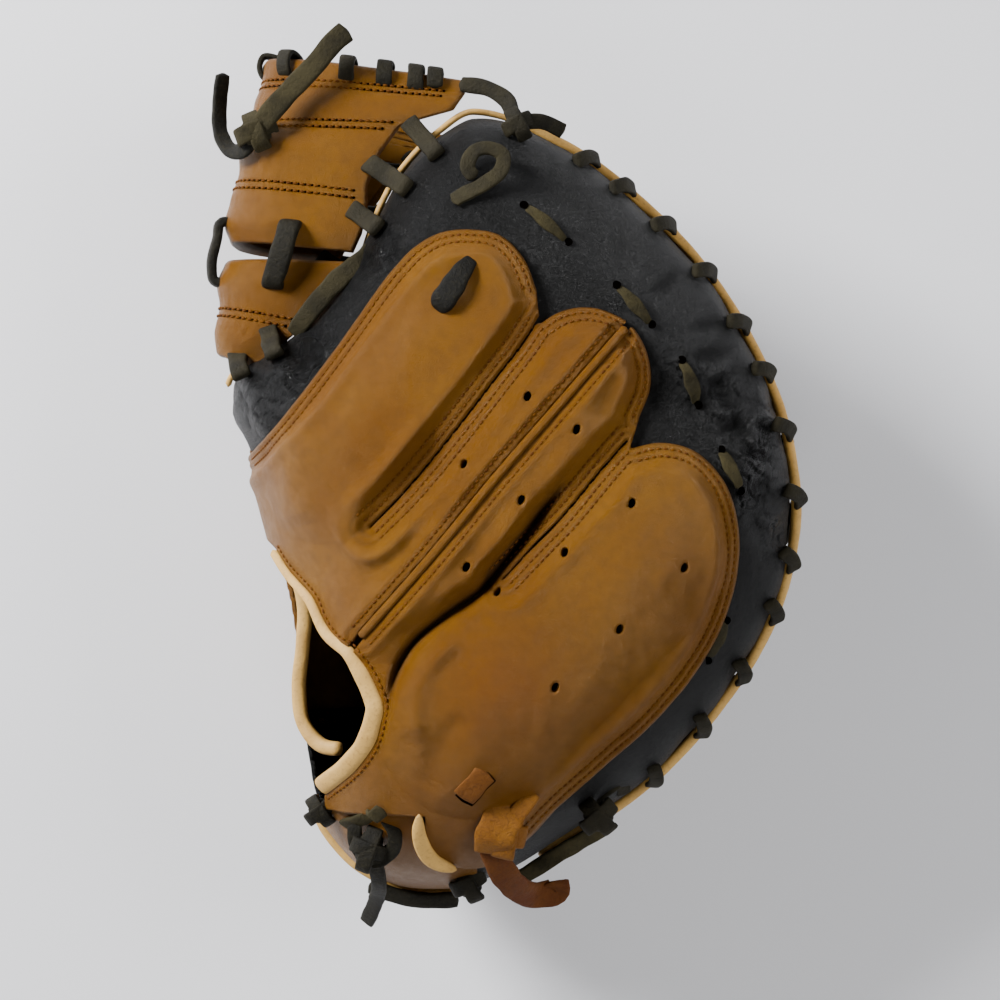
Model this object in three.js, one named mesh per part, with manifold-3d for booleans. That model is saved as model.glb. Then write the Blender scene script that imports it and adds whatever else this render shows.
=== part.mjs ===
// A catcher's mitt for the right hand, lying closed on its thumb side with the fingers' back upwards.
// Millimetres, +Z up. The fingers point to +X +Y, the web is at -X +Y and the wrist opening at -X -Y.
// Two padded plates, one for the fingers and one for the thumb, are hinged along the left side by a
// padded wall, so the ball pocket opens to the right and the hand goes in from the left.
import * as THREE from "three";
import { mergeVertices } from "three/addons/utils/BufferGeometryUtils.js";
import Module from "manifold-3d";

const wasm = await Module();
wasm.setup();

// Driving dimensions
const MIDDLE = { x: 0, y: 5 }; // the plates' bearings are taken round this point
const CROWN = 120; // top of the fingers' back
const SHELL = 2.5; // leather of the backs, padding cloth included
const CLEAR = 0.5; // gap between neighbouring pieces
const PADDING_CLEAR = 1.8; // gap between the padding and the leather over it
const ROUNDING = 3.2; // exponent of the plates' edge rounding
const POCKET_ROOF = 58; // underside of the finger plate's rim
const POCKET_FLOOR = 38; // top of the thumb plate's rim
const FLOOR_SINK = 1.5; // how much of the thumb plate's back is pressed flat
const PIPING_RADIUS = 1.7;
const PIPING_PROUD = 0.3; // how far outside the rim the piping's middle runs
const FINGER_SEAM_MIDDLE = 66; // level of the cut between back leather and padding, in the middle
const THUMB_SEAM_MIDDLE = 30;
const FAR_OUTSIDE = 170; // a distance past every rim
const LACE_WIDTH = 6;
const LACE_THICKNESS = 2;
const BEARING_STEPS = 30;
const RINGS = [0.5, 0.74, 0.88, 0.96, 1]; // shares of the reach, for leather
const PADDING_RINGS = [0.62, 0.88, 0.965, 1];

// Outline and seam height of the finger plate, clockwise from the finger tips.
const FINGER_RIM = [
  { x: -9, y: 134, seam: 84 },
  { x: 21, y: 124, seam: 78 },
  { x: 53, y: 100, seam: 76 },
  { x: 84, y: 61, seam: 76 },
  { x: 101, y: 17, seam: 77 },
  { x: 103, y: -3, seam: 78 },
  { x: 94, y: -43, seam: 77 },
  { x: 75, y: -74, seam: 74 },
  { x: 49, y: -102, seam: 68 },
  { x: 21, y: -122, seam: 57 },
  { x: -9, y: -139, seam: 48 },
  { x: -41, y: -138, seam: 45 },
  { x: -63, y: -119, seam: 46 },
  { x: -71, y: -87, seam: 48 },
  { x: -73, y: -52, seam: 51 },
  { x: -79, y: -22, seam: 53 },
  { x: -89, y: 14, seam: 55 },
  { x: -96, y: 41, seam: 64 },
  { x: -83, y: 51, seam: 76 },
  { x: -69, y: 60, seam: 82 },
  { x: -55, y: 79, seam: 85 },
  { x: -44, y: 97, seam: 86 },
  { x: -33, y: 115, seam: 86 },
  { x: -21, y: 127, seam: 86 },
];

// The thumb plate has the finger plate's outline at the heel and wrist, and is narrower elsewhere.
const THUMB_RIM = [
  { x: -14, y: 124, seam: 29 },
  { x: 8, y: 120, seam: 27 },
  { x: 32, y: 104, seam: 26 },
  { x: 52, y: 78, seam: 25 },
  { x: 66, y: 45, seam: 24 },
  { x: 72, y: 12, seam: 24 },
  { x: 72, y: -20, seam: 24 },
  { x: 66, y: -52, seam: 26 },
  { x: 54, y: -82, seam: 29 },
  { x: 36, y: -106, seam: 35 },
  { x: 14, y: -125, seam: 42 },
  ...FINGER_RIM.slice(10, 17),
  { x: -96, y: 41, seam: 52 },
  { x: -84, y: 51, seam: 42 },
  { x: -70, y: 62, seam: 34 },
  { x: -57, y: 80, seam: 31 },
  { x: -46, y: 98, seam: 30 },
  { x: -33, y: 114, seam: 29 },
];

// Raised finger lobes of the back: a long mound from the knuckles to the tip.
const LOBES = [
  { name: "index", x1: -57, y1: 8, x2: -10, y2: 67, half: 23, rise: 4 },
  { name: "middle", x1: -38, y1: -33, x2: 29, y2: 42, half: 22, rise: 3.5 },
  { name: "little", x1: -10, y1: -77, x2: 53, y2: -10, half: 30, rise: 5 },
];

// Slits between the lobes, from their open end inwards.
const INDEX_SLIT = [
  [14, 62],
  [7, 51],
  [0, 42],
  [-17, 20],
  [-33, 1],
  [-43, -9],
];
const LITTLE_SLIT = [
  [42, 19],
  [33, 9],
  [20, -7],
  [3, -26],
];
// The little finger's slit runs on as a deep fold to the wrist.
const LITTLE_FOLD = [...LITTLE_SLIT, [-10, -35], [-23, -45], [-33, -55], [-38, -64]];
const SLIT_WIDTH = 1.4;
const SLIT_DEPTH = 3;
const FOLD_DEPTH = 7;
const VALLEY_HALF = 7;

// Edges of the tan back leather, seen from above.
const INDEX_EDGE = [
  [-84, 18],
  [-67, 35],
  [-50, 58],
  [-35, 78],
];
const INDEX_TIP = [
  [-29, 84],
  [-20, 89],
  [-10, 90],
  [0, 88],
  [8, 80],
  [12, 70],
];
const MIDDLE_TIP = [
  [13, 58],
  [19, 62],
  [30, 64],
  [41, 60],
  [48, 51],
  [50, 38],
  [46, 27],
];
const LITTLE_TIP = [
  [43, 17],
  [53, 19],
  [65, 16],
  [74, 7],
  [79, -7],
  [80, -23],
  [75, -42],
  [67, -57],
  [54, -73],
  [37, -89],
  [20, -105],
  [9, -117],
];
const HEEL_FLAP = [
  [0, -124],
  [-15, -125],
  [-22, -121],
  [-25, -114],
  [-25, -106],
];
const WRIST_EDGE = [
  [-60, -101],
  [-49, -91],
  [-43, -83],
  [-40, -75],
  [-39, -69],
  [-41, -63],
  [-45, -55],
  [-49, -49],
  [-56, -44],
  [-63, -32],
  [-71, -24],
  [-77, -16],
];
const CENTRE_SEAM = [
  [39, 54],
  [20, 32],
  [0, 9],
  [-23, -19],
  [-46, -45],
];
const WELT_WIDTH = 2.4;

// Hollow for the hand, and the padded wall between it and the ball pocket.
const FINGER_ROOM_FLOOR = 90;
const THUMB_ROOM_ROOF = 22;
const WALL_OUTER = [
  [-86, 24],
  [-71, 16],
  [-57, -10],
  [-43, -42],
  [-38, -72],
  [-45, -96],
  [-58, -108],
];
const WALL_INNER = [
  [24, -104],
  [4, -104],
  [-16, -98],
  [-24, -72],
  [-29, -38],
  [-43, -5],
  [-57, 28],
  [-72, 44],
];
const FINGER_ROOM_TIP = [
  [-58, -106],
  [-5, -108],
  [45, -72],
  [70, -15],
  [66, 32],
  [40, 78],
  [-15, 98],
  [-42, 68],
  [-86, 26],
];
const THUMB_ROOM_TIP = [
  [-58, -106],
  [-10, -90],
  [36, -40],
  [44, 20],
  [24, 80],
  [-8, 98],
  [-42, 76],
  [-86, 26],
];
const POCKET_MIDDLE = { x: 8, y: 5 };
const POCKET_TOP = 72;
const POCKET_BOTTOM = 32;
const POCKET_LEVEL = 48;
const POCKET_RIM = [
  { x: -16, y: 108 },
  { x: 10, y: 108 },
  { x: 40, y: 92 },
  { x: 62, y: 64 },
  { x: 74, y: 30 },
  { x: 76, y: -5 },
  { x: 68, y: -45 },
  { x: 48, y: -76 },
  { x: 20, y: -94 },
  { x: -6, y: -94 },
  { x: -20, y: -72 },
  { x: -25, y: -36 },
  { x: -38, y: -2 },
  { x: -52, y: 28 },
  { x: -56, y: 50 },
  { x: -48, y: 68 },
  { x: -34, y: 90 },
];

// Where the padded wall ends past its two lines, and its lowest and highest level.
const WALL_FAR_LEFT = -100;
const WALL_HEEL = [
  [-70, -160],
  [60, -160],
];
const WALL_LEVELS = { low: 34, high: 62 };
const WALL_INSET = 1.5; // how far inside the padding's outline the wall stays

// Tan leather of the thumb's back, seen from above through the mitt.
const THUMB_TAN = [
  [-110, 12],
  [-78, 24],
  [-60, 44],
  [-40, 72],
  [-20, 94],
  [-2, 97],
  [16, 84],
  [32, 56],
  [40, 20],
  [38, -20],
  [26, -56],
  [6, -78],
  [-25, -86],
  [-60, -84],
  [-110, -82],
];

// The web, as sections from its top edge down to the crotch: the bearing of its ends on the two
// rims, how far left it reaches in between, and how far its roll stands out.
const WEB_UPPER = [
  { bearing: 94.5, x: -83, y: 155, roll: 0 },
  { bearing: 98.5, x: -84, y: 147, roll: 1.2 },
  { bearing: 102, x: -86, y: 139, roll: 0 },
  { bearing: 105.5, x: -88, y: 131, roll: 1.6 },
  { bearing: 109, x: -90, y: 123, roll: 0 },
  { bearing: 113, x: -92, y: 114, roll: 2.4 },
  { bearing: 117, x: -94, y: 105, roll: 0 },
  { bearing: 121, x: -95, y: 97, roll: 2.4 },
  { bearing: 125, x: -95, y: 90, roll: 0.4 },
];
const WEB_LOWER = [
  { bearing: 128, x: -97, y: 84, roll: 0.4 },
  { bearing: 134, x: -98, y: 76, roll: 2.2 },
  { bearing: 140, x: -99, y: 68, roll: 0 },
  { bearing: 146, x: -100, y: 59, roll: 1.5 },
  { bearing: 152, x: -100, y: 51, roll: 0 },
];
const WEB_OUTSIDE = 6; // how far outside the rims its ends are
const WEB_MIDDLE_LEVEL = 58;
const WEB_SQUARENESS = 0.62; // exponent of its bend round the left side
// Bindings are folded over the leather's raw edges.
const BINDING = { width: 6.4, thickness: 4.4 };
const FLAP_BINDING = { width: 5.6, thickness: 3 };
const LOWER_BINDING = { from: 194, to: 231, thickness: 4.6 };
const LOWER_BINDING_END = [
  [-66.5, -90, 53],
  [-60, -93, 57],
  [-53, -90, 61],
];

// Laces that show as short bars on the back, by their two ends.
const BARS = [
  { name: "band_lace_1", x1: 8, y1: 99, x2: 23, y2: 87 },
  { name: "band_lace_2", x1: 39, y1: 72, x2: 51, y2: 59 },
  { name: "band_lace_3", x1: 61, y1: 47, x2: 67, y2: 32 },
  { name: "band_lace_4", x1: 75, y1: 17, x2: 81, y2: 3 },
  { name: "band_lace_5", x1: 77, y1: -41, x2: 71, y2: -55 },
  { name: "index_lobe_lace", x1: -9, y1: 79, x2: -21, y2: 62 },
];
const CURL = [
  [-13, 98],
  [0, 106],
  [3, 114],
  [-7, 118],
];
const STRAP_SLOT = { x1: -9, y1: -99.5, x2: 1.5, y2: -88, width: 6.5, thickness: 1.2 };

const WEB_THICKNESS = 4;
const WEB_STEPS = 10;

// Tan leather round the heel, and where the thumb's back wraps up over the left side.
const HEEL_OUTLINE = [
  [-110, -106],
  [-58, -107],
  [-26, -107],
  [-22, -121],
  [-8, -128],
  [-8, -170],
  [-110, -170],
];
const LEFT_SIDE = [
  [-110, -14],
  [-79, -14],
  [-85, 12],
  [-110, 12],
];

// Bearings of the laces' stitches on the two rims, and of the laces that lie along the rim.
const FINGER_RIM_STITCHES = { from: 75, to: -62, count: 13 };
const THUMB_RIM_STITCHES = { from: 75, to: -50, count: 7 };
const WEB_FINGER_STITCHES = [148, 141.5, 116, 109, 102];
const WEB_THUMB_STITCHES = [136, 126, 115, 104];
const WEB_TOP_STITCHES = [1, 2, 3, 4, 5, 7]; // steps round the web's top edge
const WEB_LOOPS = [
  { name: "web_loop_top", step: 2 },
  { name: "web_loop_side", step: 5 },
];
const RIM_LACES = [
  { name: "heel_lace", from: -108, to: -98, count: 3 },
  { name: "rim_olive_lace", from: -88, to: -74, count: 4 },
];
const RIM_LACE_PLACE = { outside: 4.4, above: 3.1 };
const PIPINGS = {
  finger_piping: { from: 156, to: -84 },
  thumb_piping: { from: 144, to: -72 },
  heel_piping: { from: -96, to: -120 },
};

// Laces that lie on the back, and the routes of loose ends as x, y, z.
const INDEX_EDGE_LACE = [
  [-49, 82],
  [-56, 72],
  [-64, 63],
];
const HEEL_OLIVE_LACE = [
  [-53, -112],
  [-46, -108],
  [-39, -103],
];
const WEB_LONG_TAIL = [
  [-82, 129, 87],
  [-73, 139, 90.5],
  [-63, 149, 93],
  [-52, 160, 93],
];
const WEB_SHORT_TAIL = [
  [-86, 126, 86],
  [-92, 120, 80],
  [-98, 127, 73],
  [-98.5, 138, 70],
  [-97, 149, 73],
];
const FINGERTIP_LACE = [
  [-13, 142, 90],
  [-4, 141, 90],
  [3, 137.5, 91],
  [6, 129, 96],
  [14, 129, 93],
  [22, 127, 88],
];
const HEEL_TAIL = [
  [-43, -120, 91],
  [-42, -131, 84],
  [-44, -142, 62],
  [-48, -152, 48],
];
const STRAP_TAIL = [
  [-3, -118, 95],
  [0, -128, 90],
  [9, -136, 76],
  [17, -140, 68],
  [18, -145, 64],
];
const WEB_KNOT = { x: -84, y: 127, z: 85.4, across: 13, along: 12, high: 8 };
const KNOTS = {
  fingertip: { x: 6, y: 126, across: 9, along: 9, high: 7, sunk: 0.9 },
  heel: { x: -44, y: -118, across: 11, along: 15, high: 8, turn: -20, sunk: 0.8 },
  wrist: { x: -62, y: -107, across: 10, along: 9, high: 7, sunk: 1.4 },
  rim: { x: 33, y: -106, across: 12, along: 12, high: 8 },
  strap: { x: 1, y: -114, across: 15, along: 20, high: 8, turn: -10 },
};

const material = (color, roughness) => new THREE.MeshStandardMaterial({ color, roughness, metalness: 0 });
const TAN = material(0x9c6328, 0.5);
const BLACK = material(0x1d1e20, 0.5);
const CREAM = material(0xd9bd8d, 0.7);
const LACE = material(0x2b2b24, 0.8);
const RAWHIDE = material(0x8a4b1e, 0.8);

// Helpers

const radians = THREE.MathUtils.degToRad;

// A smooth closed curve through the rows, read by bearing round a middle point.
function byBearing(rows, middle, read) {
  const knots = rows
    .map((row) => ({
      bearing: THREE.MathUtils.euclideanModulo(
        THREE.MathUtils.radToDeg(Math.atan2(row.y - middle.y, row.x - middle.x)),
        360,
      ),
      value: read(row),
    }))
    .sort((a, b) => a.bearing - b.bearing);
  const count = knots.length;
  const knot = (i) => {
    const turn = Math.floor(i / count);
    const { bearing, value } = knots[i - turn * count];
    return { bearing: bearing + 360 * turn, value };
  };
  const slope = (i) =>
    (knot(i + 1).value - knot(i - 1).value) / (knot(i + 1).bearing - knot(i - 1).bearing);
  return (bearing) => {
    const wanted = THREE.MathUtils.euclideanModulo(bearing, 360);
    let i = knots.findLastIndex((k) => k.bearing <= wanted);
    const a = knot(i);
    const b = knot(i + 1);
    const h = b.bearing - a.bearing;
    const u = (wanted - a.bearing) / h;
    return (
      (2 * u ** 3 - 3 * u ** 2 + 1) * a.value +
      (u ** 3 - 2 * u ** 2 + u) * h * slope(i) +
      (3 * u ** 2 - 2 * u ** 3) * b.value +
      (u ** 3 - u ** 2) * h * slope(i + 1)
    );
  };
}

const reachOf = (rows, middle) =>
  byBearing(rows, middle, (row) => Math.hypot(row.x - middle.x, row.y - middle.y));
const fingerReach = reachOf(FINGER_RIM, MIDDLE);
const fingerSeam = byBearing(FINGER_RIM, MIDDLE, (row) => row.seam);
const thumbReach = reachOf(THUMB_RIM, MIDDLE);
const thumbSeam = byBearing(THUMB_RIM, MIDDLE, (row) => row.seam);

// Share of the full height at a share of the reach: 1 in the middle, 0 at the edge, upright there.
const edgeRounding = (share) => Math.sqrt(Math.max(0, 1 - share ** ROUNDING));

// A solid from its vertices and triangles.
function solid(positions, triangles) {
  return new wasm.Manifold(
    new wasm.Mesh({
      numProp: 3,
      vertProperties: new Float32Array(positions.flat()),
      triVerts: new Uint32Array(triangles.flat()),
    }),
  );
}

// A three.js geometry as a solid, with its shared vertices merged.
function solidOf(geometry) {
  const bare = geometry.index ? geometry.toNonIndexed() : geometry.clone();
  for (const name of ["normal", "uv"]) bare.deleteAttribute(name);
  const merged = mergeVertices(bare, 1e-4);
  return new wasm.Manifold(
    new wasm.Mesh({
      numProp: 3,
      vertProperties: new Float32Array(merged.attributes.position.array),
      triVerts: new Uint32Array(merged.index.array),
    }),
  );
}

function pointAt(middle, bearing, distance, z) {
  const a = radians(bearing);
  return [middle.x + distance * Math.cos(a), middle.y + distance * Math.sin(a), z];
}

// A plate between two surfaces over rings of a closed outline. Both meet at the outermost ring.
function plate({ middle = MIDDLE, reach, top, bottom, rings = RINGS, steps = BEARING_STEPS }) {
  const positions = [];
  const triangles = [];
  const bearings = [...Array(steps).keys()].map((k) => (360 * k) / steps);
  const sheet = (surface, last) => {
    const centre = positions.push(pointAt(middle, 0, 0, surface(0, 0))) - 1;
    const starts = rings.slice(0, last).map((share) => {
      const start = positions.length;
      for (const bearing of bearings) {
        positions.push(pointAt(middle, bearing, share * reach(bearing), surface(bearing, share)));
      }
      return start;
    });
    return { centre, starts };
  };
  const upper = sheet(top, rings.length);
  const lower = sheet(bottom, rings.length - 1);
  lower.starts.push(upper.starts.at(-1));
  const face = (a, b, c, flip) => triangles.push(flip ? [a, c, b] : [a, b, c]);
  for (const [{ centre, starts }, flip] of [
    [upper, false],
    [lower, true],
  ]) {
    for (let k = 0; k < steps; k += 1) {
      const next = (k + 1) % steps;
      face(centre, starts[0] + k, starts[0] + next, flip);
      for (let r = 0; r + 1 < starts.length; r += 1) {
        face(starts[r] + k, starts[r + 1] + k, starts[r + 1] + next, flip);
        face(starts[r] + k, starts[r + 1] + next, starts[r] + next, flip);
      }
    }
  }
  return solid(positions, triangles);
}

// Height of the rounded surface from a seam at the edge to a level in the middle.
const swell = (seam, level) => (bearing, share) =>
  seam(bearing) + (level - seam(bearing)) * edgeRounding(share);
const pressedFlat = (seam) => (bearing, share) =>
  Math.max(0, swell(seam, -FLOOR_SINK)(bearing, share));
const inset = (reach, depth) => (bearing) => reach(bearing) - depth;

const raised = (surface, lift) => (bearing, share) => surface(bearing, share) + lift;

const fingerPlate = (depth, rings = RINGS, lift = 0) =>
  plate({
    rings,
    reach: inset(fingerReach, depth),
    top: raised(swell(fingerSeam, CROWN - depth), lift),
    bottom: raised(swell(fingerSeam, POCKET_ROOF + Math.min(depth, 1)), lift),
  });
const thumbPlate = (depth, rings = RINGS, lift = 0) => {
  const back = (bearing, share) =>
    Math.max(depth, pressedFlat(thumbSeam)(bearing, share) + depth * edgeRounding(share));
  return plate({
    rings,
    reach: inset(thumbReach, depth),
    top: raised(swell(thumbSeam, POCKET_FLOOR - Math.min(depth, 1)), lift),
    bottom: raised(back, lift),
  });
};
// The whole mitt's outside on one outline, from the floor to the crown.
const envelope = (reach, seam, depth, rings = RINGS) =>
  plate({
    rings,
    reach: inset(reach, depth),
    top: swell(seam, CROWN - depth),
    bottom: (bearing, share) =>
      Math.max(depth, pressedFlat(seam)(bearing, share) + depth * edgeRounding(share)),
  });

// Everything above or below a seam, moved by an offset. Its edges follow the rim's.
function seamSide(reach, seam, centreLevel, offset, above) {
  const limit = above ? 200 : -50;
  const positions = [];
  const triangles = [];
  const step = 360 / BEARING_STEPS;
  const centres = [centreLevel, limit].map((z) => positions.push(pointAt(MIDDLE, 0, 0, z)) - 1);
  const ring = (distance, z) => {
    const start = positions.length;
    for (let k = 0; k < BEARING_STEPS; k += 1) {
      positions.push(pointAt(MIDDLE, k * step, distance(k * step), z(k * step)));
    }
    return start;
  };
  const level = (bearing) => seam(bearing) + offset(bearing);
  const distances = [(b) => 0.6 * reach(b), (b) => reach(b) + PIPING_PROUD, () => FAR_OUTSIDE];
  const rings = distances.map((distance) => ring(distance, level));
  const wallEnd = ring(() => FAR_OUTSIDE, () => limit);
  const face = (a, b, c) => triangles.push(above ? [a, c, b] : [a, b, c]);
  for (let k = 0; k < BEARING_STEPS; k += 1) {
    const n = (k + 1) % BEARING_STEPS;
    face(centres[0], rings[0] + k, rings[0] + n);
    for (const [near, far] of [
      [rings[0], rings[1]],
      [rings[1], rings[2]],
      [rings[2], wallEnd],
    ]) {
      face(near + k, far + k, far + n);
      face(near + k, far + n, near + n);
    }
    face(centres[1], wallEnd + n, wallEnd + k);
  }
  return solid(positions, triangles);
}

// An upright block over a polygon.
function prism(polygon, from = -20, to = 200) {
  const points = polygon.map(([x, y]) => new THREE.Vector2(x, y));
  if (THREE.ShapeUtils.area(points) < 0) points.reverse();
  const geometry = new THREE.ExtrudeGeometry(new THREE.Shape(points), {
    depth: to - from,
    bevelEnabled: false,
  });
  return solidOf(geometry.translate(0, 0, from));
}

// A polygon moved outwards, or inwards if the amount is negative.
function grow(polygon, amount) {
  const points = polygon.map(([x, y]) => new THREE.Vector2(x, y));
  const side = Math.sign(THREE.ShapeUtils.area(points));
  return points.map((p, i) => {
    const before = points.at(i - 1);
    const after = points[(i + 1) % points.length];
    const a = p.clone().sub(before).normalize();
    const b = after.clone().sub(p).normalize();
    const normal = new THREE.Vector2(a.y + b.y, -a.x - b.x).normalize();
    const lean = Math.max(0.4, normal.dot(new THREE.Vector2(b.y, -b.x)));
    return [p.x + (side * amount * normal.x) / lean, p.y + (side * amount * normal.y) / lean];
  });
}

// A polyline moved sideways, to its left if the amount is positive.
function beside(line, amount) {
  return line.map(([x, y], i) => {
    const [ax, ay] = line[Math.max(0, i - 1)];
    const [bx, by] = line[Math.min(line.length - 1, i + 1)];
    const length = Math.hypot(bx - ax, by - ay);
    return [x - (amount * (by - ay)) / length, y + (amount * (bx - ax)) / length];
  });
}
const strip = (line, width) => [...beside(line, width / 2), ...beside(line, -width / 2).reverse()];

const bearingOf = (x, y) => THREE.MathUtils.radToDeg(Math.atan2(y - MIDDLE.y, x - MIDDLE.x));

// Smooth height of the fingers' back over a point, at a depth under its outside.
function backHeight(x, y, depth = 0) {
  const bearing = bearingOf(x, y);
  const share = Math.hypot(x - MIDDLE.x, y - MIDDLE.y) / (fingerReach(bearing) - depth);
  return swell(fingerSeam, CROWN - depth)(bearing, Math.min(share, 1));
}

function distanceToLine(x, y, line) {
  let best = Infinity;
  for (let i = 0; i + 1 < line.length; i += 1) {
    const [ax, ay] = line[i];
    const [bx, by] = line[i + 1];
    const along = ((x - ax) * (bx - ax) + (y - ay) * (by - ay)) / ((bx - ax) ** 2 + (by - ay) ** 2);
    const t = THREE.MathUtils.clamp(along, 0, 1);
    best = Math.min(best, Math.hypot(x - ax - t * (bx - ax), y - ay - t * (by - ay)));
  }
  return best;
}

// Mounds over the lobes less the valleys along the slits and the fold.
function backRelief(x, y) {
  const mounds = LOBES.map(({ x1, y1, x2, y2, half, rise }) => {
    const line = [
      [x1, y1],
      [x2, y2],
    ];
    const across = distanceToLine(x, y, line) / half;
    return rise * Math.max(0, 1 - across ** 2);
  });
  const valley = (line, depth) =>
    depth * Math.exp(-((distanceToLine(x, y, line) / VALLEY_HALF) ** 2));
  return Math.max(...mounds) - valley(INDEX_SLIT, SLIT_DEPTH) - valley(LITTLE_FOLD, FOLD_DEPTH);
}

// Back leather over a grid turned along the fingers, finer across them than along them.
function backSheet() {
  const along = 17;
  const across = 9;
  const columns = 16;
  const rows = 30;
  const turn = radians(48);
  const corner = { u: -128, v: -128 };
  const positions = [];
  for (const lower of [false, true]) {
    for (let j = 0; j < rows; j += 1) {
      for (let i = 0; i < columns; i += 1) {
        const u = corner.u + i * along;
        const v = corner.v + j * across;
        const x = u * Math.cos(turn) - v * Math.sin(turn);
        const y = u * Math.sin(turn) + v * Math.cos(turn);
        const surface = backHeight(x, y) + backRelief(x, y);
        const under = Math.min(surface - SHELL, backHeight(x, y, SHELL));
        positions.push([x, y, lower ? Math.max(under, surface - 2 * SHELL) : surface]);
      }
    }
  }
  const triangles = [];
  const at = (i, j, lower) => (lower ? rows * columns : 0) + j * columns + i;
  for (let j = 0; j + 1 < rows; j += 1) {
    for (let i = 0; i + 1 < columns; i += 1) {
      triangles.push([at(i, j), at(i + 1, j), at(i + 1, j + 1)]);
      triangles.push([at(i, j), at(i + 1, j + 1), at(i, j + 1)]);
      triangles.push([at(i, j, true), at(i + 1, j + 1, true), at(i + 1, j, true)]);
      triangles.push([at(i, j, true), at(i, j + 1, true), at(i + 1, j + 1, true)]);
    }
  }
  const wall = (i1, j1, i2, j2) => {
    triangles.push([at(i1, j1), at(i1, j1, true), at(i2, j2, true)]);
    triangles.push([at(i1, j1), at(i2, j2, true), at(i2, j2)]);
  };
  for (let i = 0; i + 1 < columns; i += 1) {
    wall(i, 0, i + 1, 0);
    wall(i + 1, rows - 1, i, rows - 1);
  }
  for (let j = 0; j + 1 < rows; j += 1) {
    wall(0, j + 1, 0, j);
    wall(columns - 1, j, columns - 1, j + 1);
  }
  return solid(positions, triangles);
}

// A section swept along points. Each point has a guide, the direction of the section's first axis.
function sweep(points, guides, section) {
  const sides = section.length;
  const last = points.length - 1;
  const positions = [];
  points.forEach((point, i) => {
    const ahead = points[Math.min(last, i + 1)].clone().sub(points[Math.max(0, i - 1)]).normalize();
    const side = guides[i].clone().addScaledVector(ahead, -guides[i].dot(ahead)).normalize();
    const face = new THREE.Vector3().crossVectors(side, ahead);
    for (const [s, f] of section) {
      positions.push(point.clone().addScaledVector(side, s).addScaledVector(face, f).toArray());
    }
  });
  const triangles = [];
  for (let i = 0; i < last; i += 1) {
    for (let k = 0; k < sides; k += 1) {
      const n = (k + 1) % sides;
      const [a, b] = [sides * i, sides * (i + 1)];
      triangles.push([a + k, b + n, a + n], [a + k, b + k, b + n]);
    }
  }
  for (let k = 1; k + 1 < sides; k += 1) {
    const end = sides * last;
    triangles.push([0, k, k + 1], [end, end + k + 1, end + k]);
  }
  return solid(positions, triangles);
}

const flatSection = (width, thickness) => [
  [-width / 2, -thickness / 2],
  [width / 2, -thickness / 2],
  [width / 2, thickness / 2],
  [-width / 2, thickness / 2],
];
const roundSection = (sides, width, thickness) =>
  [...Array(sides).keys()].map((k) => {
    const a = (2 * Math.PI * (k + 0.5)) / sides;
    return [(width / 2) * Math.cos(a), (thickness / 2) * Math.sin(a)];
  });

// A lace lying with its flat side to the sky, through points given as x, y, z.
function laceThrough(rows, width = LACE_WIDTH, thickness = LACE_THICKNESS) {
  const points = rows.map((row) => new THREE.Vector3(...row));
  const guides = points.map((_, i) => {
    const ahead = points[Math.min(points.length - 1, i + 1)].clone().sub(points[Math.max(0, i - 1)]);
    return new THREE.Vector3(-ahead.y, ahead.x, 0).normalize();
  });
  return sweep(points, guides, flatSection(width, thickness));
}

// The largest connected piece of a mesh, without the specks that a cut can leave.
function largestPiece(vertices, corners) {
  const parent = [...Array(vertices.length / 3).keys()];
  const root = (i) => {
    let r = i;
    while (parent[r] !== r) r = parent[r] = parent[parent[r]];
    return r;
  };
  for (let t = 0; t < corners.length; t += 3) {
    parent[root(corners[t])] = root(corners[t + 1]);
    parent[root(corners[t + 1])] = root(corners[t + 2]);
  }
  const pieces = new Map();
  for (let t = 0; t < corners.length; t += 3) {
    const key = root(corners[t]);
    pieces.set(key, [...(pieces.get(key) ?? []), corners[t], corners[t + 1], corners[t + 2]]);
  }
  const size = (list) => {
    const used = list.map((i) => new THREE.Vector3().fromArray(vertices, 3 * i));
    return new THREE.Box3().setFromPoints(used).getSize(new THREE.Vector3()).length();
  };
  return [...pieces.values()].sort((x, y) => size(y) - size(x))[0];
}

const mitt = new THREE.Group();
function add(name, made, look) {
  const { vertProperties, triVerts } = made.getMesh();
  const bare = new THREE.BufferGeometry();
  bare.setAttribute("position", new THREE.Float32BufferAttribute(vertProperties, 3));
  bare.setIndex(largestPiece(vertProperties, triVerts));
  const piece = new THREE.Mesh(mergeVertices(bare.toNonIndexed(), 1e-5), look);
  piece.name = name;
  mitt.add(piece);
}

// Rims are piped between the crotch, the finger tips and the heel; elsewhere the backs meet edge to edge.
const isPiped = (bearing) => {
  const b = THREE.MathUtils.euclideanModulo(bearing, 360);
  return b < 165 || b > 235;
};
const lip = (bearing) => (isPiped(bearing) ? PIPING_RADIUS + CLEAR : CLEAR / 2);
const underLip = (bearing) => -lip(bearing);
const aboveFingerSeam = seamSide(fingerReach, fingerSeam, FINGER_SEAM_MIDDLE, lip, true);
const belowFingerSeam = seamSide(fingerReach, fingerSeam, FINGER_SEAM_MIDDLE, underLip, false);
const aboveThumbSeam = seamSide(thumbReach, thumbSeam, THUMB_SEAM_MIDDLE, lip, true);
const belowThumbSeam = seamSide(thumbReach, thumbSeam, THUMB_SEAM_MIDDLE, underLip, false);

// Whip stitches: a lace that goes over the rim, back under it and up through the plate, again and again.
const STITCH_INSET = 9; // how far inside the rim it goes through
const STITCH_LIFT = LACE_THICKNESS / 2 + 1.1;
const LYING_LIFT = LACE_THICKNESS / 2 + 0.35; // a lace that lies on the leather
const TUNNEL = { width: LACE_WIDTH + 1.4, thickness: LACE_THICKNESS + 1.4 };

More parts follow.
